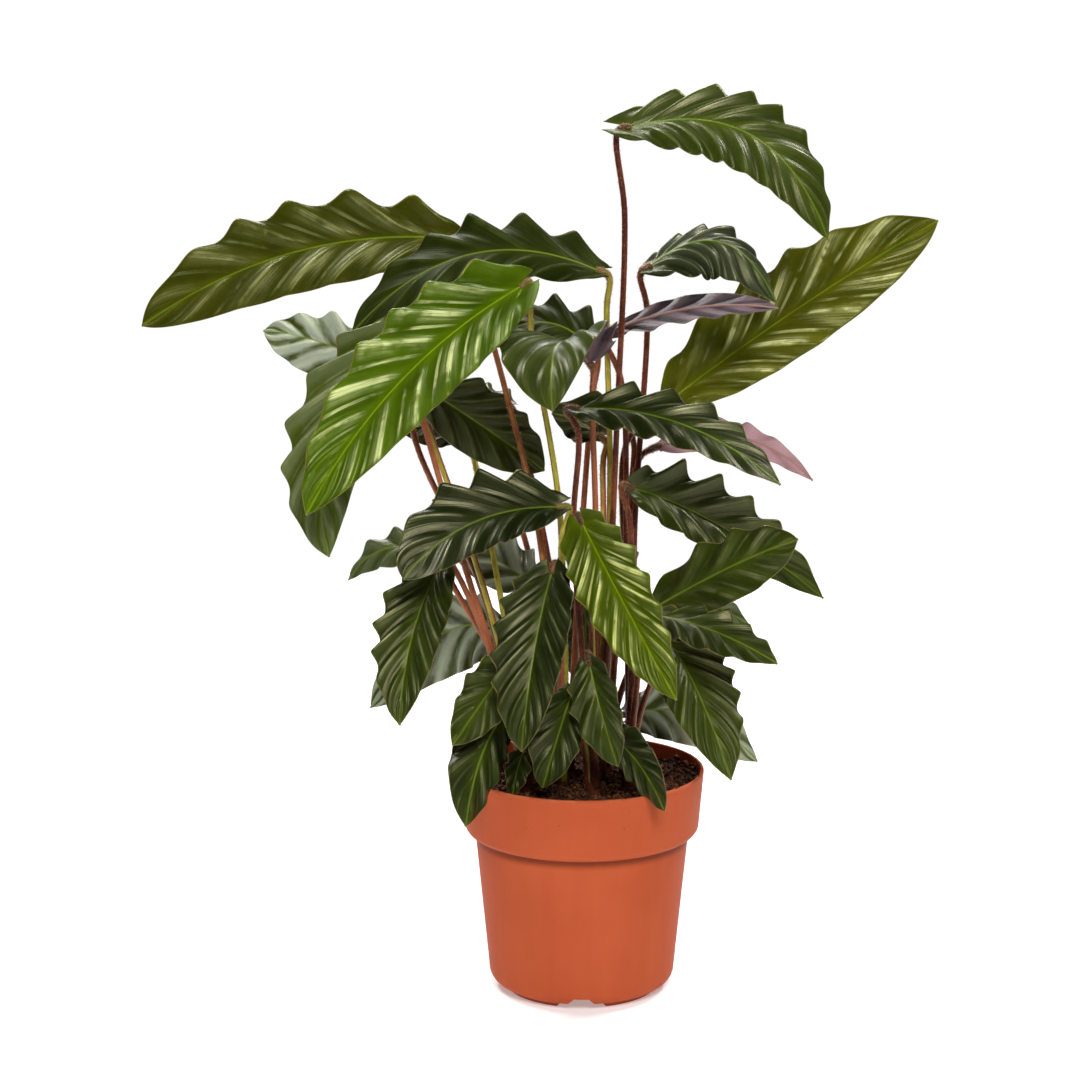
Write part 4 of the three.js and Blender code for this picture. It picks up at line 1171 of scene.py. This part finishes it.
# %% [markdown]
# ## The soil
# The peat lies loosely, a good centimetre under the lip, and is heaped a little against the right
# side. Its surface is a height for each place on a disc: the gentle rise, then lumps of many sizes.
# On it lie crumbs and fibres, and some crumbs are caught on the lip. A displaced texture alone would
# look like cloth, since loose soil has gaps and overhangs, and the crumbs bring those.

# %% The height of the soil
def soil_height(x, y):
    """164 + sin(x/9) cos(y/11) + 7 * (smooth step of x - 0.3 y from 30 to 85)."""
    return 164 + np.sin(x / 9) * np.cos(y / 11) + 7 * smooth_rise(x - 0.3 * y, 30, 85)


def lumps(x, y, seed):
    """Uneven ground: a sum of 60 waves in random directions, 4 to 22 mm long, the long ones high."""
    rng = np.random.default_rng(seed)
    length = rng.uniform(4, 22, 60)
    direction = rng.uniform(0, 2 * np.pi, 60)
    phase = rng.uniform(0, 2 * np.pi, 60)
    ahead = x[..., None] * np.cos(direction) + y[..., None] * np.sin(direction)
    waves = np.sin(2 * np.pi / length * ahead + phase)
    return (waves * length).sum(-1) / 95


SOIL_REACH = 91.0  # radius of the soil where it meets the wall of the pot, in millimetres
LUMP_SEED = 5
SUNK = 0.8         # how far the lumps are let down, so that they stay within the solid soil


def soil_mesh(rings, sides):
    """A closed plug: a disc with the soil's height, a wall that follows the pot, and a floor.

    The wall stands 88.2 mm from the axis at a height of 132 mm, and 80 mm at 125 mm, on the floor.
    """
    angle = np.linspace(0, 2 * np.pi, sides, endpoint=False)
    radius = SOIL_REACH * np.linspace(0, 1, rings)[1:]
    x = radius[:, None] * np.cos(angle)
    y = radius[:, None] * np.sin(angle)
    calm = 1 - smooth_rise(radius, SOIL_REACH - 7, SOIL_REACH)[:, None]
    z = soil_height(x, y) + lumps(x, y, LUMP_SEED) * (0.35 + 0.65 * calm) - SUNK
    top = np.stack([x, y, z], axis=-1)[::-1]
    wall = np.stack([88.2 * np.cos(angle), 88.2 * np.sin(angle), np.full(sides, 132.0)], axis=-1)
    low = np.stack([80 * np.cos(angle), 80 * np.sin(angle), np.full(sides, 125.0)], axis=-1)
    points = np.concatenate([low[None], wall[None], top]).reshape(-1, 3)
    poles = np.array([[0, 0, 125.0], [0, 0, soil_height(0.0, 0.0)]])
    caps = fans(sides, rings * sides, len(points))
    return np.concatenate([points, poles]), wrapped(rings + 1, sides), caps


print("soil level in the middle and at the right:", soil_height(np.array([0, 88.0]), 0.0).round(1))

# %% Crumbs
def spread(count, seed):
    """Random places on the soil, even over its area: radius = 89 mm * square root of chance."""
    rng = np.random.default_rng(seed)
    radius = (SOIL_REACH - 2) * np.sqrt(rng.uniform(0, 1, count))
    angle = rng.uniform(0, 2 * np.pi, count)
    return radius * np.cos(angle), radius * np.sin(angle)


def random_turns(count, rng):
    """One random rotation for each crumb: two random directions made square, and a third from them."""
    first = unit(rng.normal(size=(count, 3)))
    other = rng.normal(size=(count, 3))
    second = unit(other - (other * first).sum(-1, keepdims=True) * first)
    return np.stack([first, second, np.cross(first, second)], axis=1)


def crumbs(centres, sizes, seed):
    """Twenty-sided lumps: an icosahedron for each place, its corners pushed in and out at random."""
    rng = np.random.default_rng(seed)
    g = (1 + 5 ** 0.5) / 2
    base = unit(np.array([(-1, g, 0), (1, g, 0), (-1, -g, 0), (1, -g, 0), (0, -1, g), (0, 1, g),
                          (0, -1, -g), (0, 1, -g), (g, 0, -1), (g, 0, 1), (-g, 0, -1), (-g, 0, 1)]))
    faces = np.array([(0, 11, 5), (0, 5, 1), (0, 1, 7), (0, 7, 10), (0, 10, 11), (1, 5, 9), (5, 11, 4),
                      (11, 10, 2), (10, 7, 6), (7, 1, 8), (3, 9, 4), (3, 4, 2), (3, 2, 6), (3, 6, 8),
                      (3, 8, 9), (4, 9, 5), (2, 4, 11), (6, 2, 10), (8, 6, 7), (9, 8, 1)])
    count = len(centres)
    rough = base[None] * rng.uniform(0.65, 1.15, (count, 12, 1))
    rough = rough * rng.uniform(0.55, 1.0, (count, 1, 3))
    points = np.einsum("nvi,nij->nvj", rough, random_turns(count, rng)) * sizes[:, None, None]
    points = points + centres[:, None]
    all_faces = (np.arange(count) * 12)[:, None, None] + faces
    return points.reshape(-1, 3), all_faces.reshape(-1, 3)


print("faces of ten crumbs:", len(crumbs(np.zeros((10, 3)), np.ones(10), 1)[1]))

# %% Fibres
def fibres(centres, lengths, seed):
    """Curved threads of three sides and six steps: a line that bends up and sideways at random."""
    rng = np.random.default_rng(seed)
    count = len(centres)
    heading = rng.uniform(0, 2 * np.pi, count)
    ahead = np.stack([np.cos(heading), np.sin(heading), rng.uniform(-0.1, 0.35, count)], axis=-1)
    aside = np.stack([-np.sin(heading), np.cos(heading), rng.uniform(0, 0.6, count)], axis=-1)
    t = np.linspace(-0.5, 0.5, 7)[None, :, None]
    sag = rng.uniform(-0.9, 0.9, count)[:, None, None]
    bend = t * ahead[:, None] + sag * t * t * aside[:, None]
    line = centres[:, None] + lengths[:, None, None] * bend
    corner = np.array([0, 2.1, 4.2])
    ring = (np.cos(corner)[:, None] * np.array([0, 0, 1.0]))[None, None]
    ring = ring + np.sin(corner)[None, None, :, None] * aside[:, None, None] * np.array([1, 1, 0])
    thick = rng.uniform(0.1, 0.24, count)[:, None, None, None] * (1.05 - np.abs(t[..., None]) * 1.6)
    points = (line[:, :, None] + thick * ring).reshape(-1, 3)
    side = wrapped(7, 3)
    thread = np.concatenate([side[:, [0, 1, 2]], side[:, [0, 2, 3]], capped(7, 3)])[:, ::-1]
    return points, ((np.arange(count) * 7 * 3)[:, None, None] + thread).reshape(-1, 3)


print("faces of ten fibres:", len(fibres(np.zeros((10, 3)), np.ones(10), 1)[1]))

# %% [markdown]
# ## The peat
# Moist peat is nearly black, with crumbs from dark chocolate to rust, pale bits of bark, and tan
# fibres. Its roughness changes with the moisture. Each crumb takes its colour from the place it lies
# in, through noise that is coarser than a crumb and finer than the pot.

# %% Finishes for peat, crumbs and fibres
def peat_skin(name, dark, light, scale, low, high):
    """Two colours in fine noise, dull with moist spots, and a coarse relief."""
    finish = Finish(name, {"Specular IOR Level": 0.2, "Specular Tint": tint(240, 210, 190)})
    place = finish.place()
    coarse = finish.noise(place, scale, 3, 0.7)
    fine = finish.noise(place, 1300, 3, 0.7)
    share = coarse * 0.7 + fine * 0.3
    color = finish.mix(share.rise(low, high), tint(*dark), tint(*light))
    return finish.wear(color, 0.8 - 0.35 * coarse.rise(0.5, 0.7), finish.bump(fine, 0.0009))


peat = peat_skin("peat", dark=(22, 11, 6), light=(84, 48, 30), scale=260, low=0.4, high=0.68)
crumb_peat = peat_skin("peat_crumbs", dark=(30, 15, 9), light=(160, 98, 60), scale=420, low=0.42,
                       high=0.72)
fibre_peat = peat_skin("peat_fibres", dark=(52, 32, 22), light=(142, 104, 76), scale=300, low=0.35,
                       high=0.7)
print("soil finishes:", peat.name, crumb_peat.name, fibre_peat.name)

# %% Make the soil and what lies on it
points, quads, caps = soil_mesh(70, 200)
make_piece("soil_bed", points, [quads, caps], "peat", [peat], ["soil"])

rng = np.random.default_rng(21)
x, y = spread(3600, 22)
sizes = 0.7 + 3.0 * rng.uniform(0, 1, len(x)) ** 3
ground = soil_height(x, y) + lumps(x, y, LUMP_SEED) - SUNK
centres = np.column_stack([x, y, ground + 0.35 * sizes])
make_piece("soil_crumbs", *crumbs(centres, sizes, 23), "peat", [crumb_peat])

x, y = spread(420, 24)
ground = soil_height(x, y) + lumps(x, y, LUMP_SEED)
centres = np.column_stack([x, y, ground + rng.uniform(-0.3, 1.0, len(x))])
make_piece("soil_fibres", *fibres(centres, rng.uniform(4, 13, len(x)), 25), "peat", [fibre_peat])
print("crumbs and fibres on the soil:", len(sizes), len(x))

# %% Make the crumbs on the lip
angle = np.concatenate([rng.uniform(-0.75, 0.5, 60), rng.uniform(-2.6, -1.2, 50)])
spot = 93.4 + rng.uniform(-0.8, 0.6, len(angle))
sizes = rng.uniform(0.3, 1.1, len(angle))
low = LIP / MM - 0.1 - 0.15 * sizes
centres = np.column_stack([spot * np.cos(angle), spot * np.sin(angle), low])
make_piece("lip_crumbs", *crumbs(centres, sizes, 26), "peat", [crumb_peat])
print("crumbs on the lip:", len(angle))

# %% [markdown]
# ## Floor and light
# The plant stands on a white table in front of a white wall, in the soft light of a studio. A soft
# light hangs above and in front, two smaller ones stand at the sides and a large one behind, and the
# white room itself lights the rest. The floor is a plain plane. Some of its brightness is its own, so
# it stays as white as the wall and only the faint shadow round the pot shows.

# %% Make the floor
def floor_skin():
    """Nearly white, with a little light of its own so that it meets the wall without a line."""
    finish = Finish("floor_white", {"Emission Color": (1, 1, 1, 1), "Emission Strength": 0.3,
                                    "Specular IOR Level": 0.0})
    soft = finish.noise(finish.place(), 2, 1)
    color = finish.mix(soft, (0.86, 0.86, 0.86, 1), (0.88, 0.88, 0.88, 1))
    return finish.wear(color, 0.9 + 0.02 * soft, finish.bump(soft, 0.0001))


REACH = 1.5  # how far the floor reaches from the middle, in metres
floor_mesh = bpy.data.meshes.new("floor")
floor_corners = [(-REACH, -REACH, 0), (REACH, -REACH, 0), (REACH, REACH, 0), (-REACH, REACH, 0)]
floor_mesh.from_pydata(floor_corners, [], [(0, 1, 2, 3)])
floor_mesh.materials.append(floor_skin())
floor = bpy.data.objects.new("floor", floor_mesh)
bpy.context.scene.collection.objects.link(floor)
print("floor is", 2 * REACH, "m wide")

# %% Hang the lights
def softbox(name, place, aim, size, watts):
    """A square area light at a place, turned towards an aim; both are in metres."""
    light = bpy.data.lights.new(name, "AREA")
    light.size = size
    light.energy = watts
    lamp = bpy.data.objects.new(name, light)
    lamp.location = place
    away = np.array(place, float) - np.array(aim, float)
    level = math.hypot(away[0], away[1])
    lamp.rotation_euler = (math.atan2(level, away[2]), 0, math.atan2(away[0], -away[1]))
    bpy.context.scene.collection.objects.link(lamp)


softbox("front_light", place=(0.3, -2.2, 1.9), aim=(0, 0, 0.35), size=0.8, watts=54)
softbox("left_light", place=(-1.2, 0.4, 2.25), aim=(0, 0, 0.45), size=0.5, watts=30)
softbox("right_light", place=(1.35, 0.6, 2.15), aim=(0, 0, 0.45), size=0.5, watts=30)
softbox("back_light", place=(-0.5, 1.9, 1.9), aim=(0, 0, 0.4), size=1.3, watts=42)

# %% [markdown]
# ## The white room
# A white wall that lit the plant as brightly as it looks would wash the leaves out. So the world is
# two backgrounds: a dim one, which lights the plant, and a bright one, which only the camera sees.

# %% Light the room
world = bpy.data.worlds.new("white_room")
world.use_nodes = True
tree = world.node_tree
room = tree.nodes["Background"]
room.inputs["Strength"].default_value = 0.09
wall = tree.nodes.new("ShaderNodeBackground")
wall.inputs["Strength"].default_value = 1.02
for background in (room, wall):
    background.inputs["Color"].default_value = (1, 1, 1, 1)
seen = tree.nodes.new("ShaderNodeLightPath")
either = tree.nodes.new("ShaderNodeMixShader")
tree.links.new(seen.outputs["Is Camera Ray"], either.inputs["Fac"])
tree.links.new(room.outputs["Background"], either.inputs[1])
tree.links.new(wall.outputs["Background"], either.inputs[2])
tree.links.new(either.outputs["Shader"], tree.nodes["World Output"].inputs["Surface"])
bpy.context.scene.world = world
bpy.context.scene.view_settings.view_transform = "Standard"
print("room strength:", round(room.inputs["Strength"].default_value, 2))
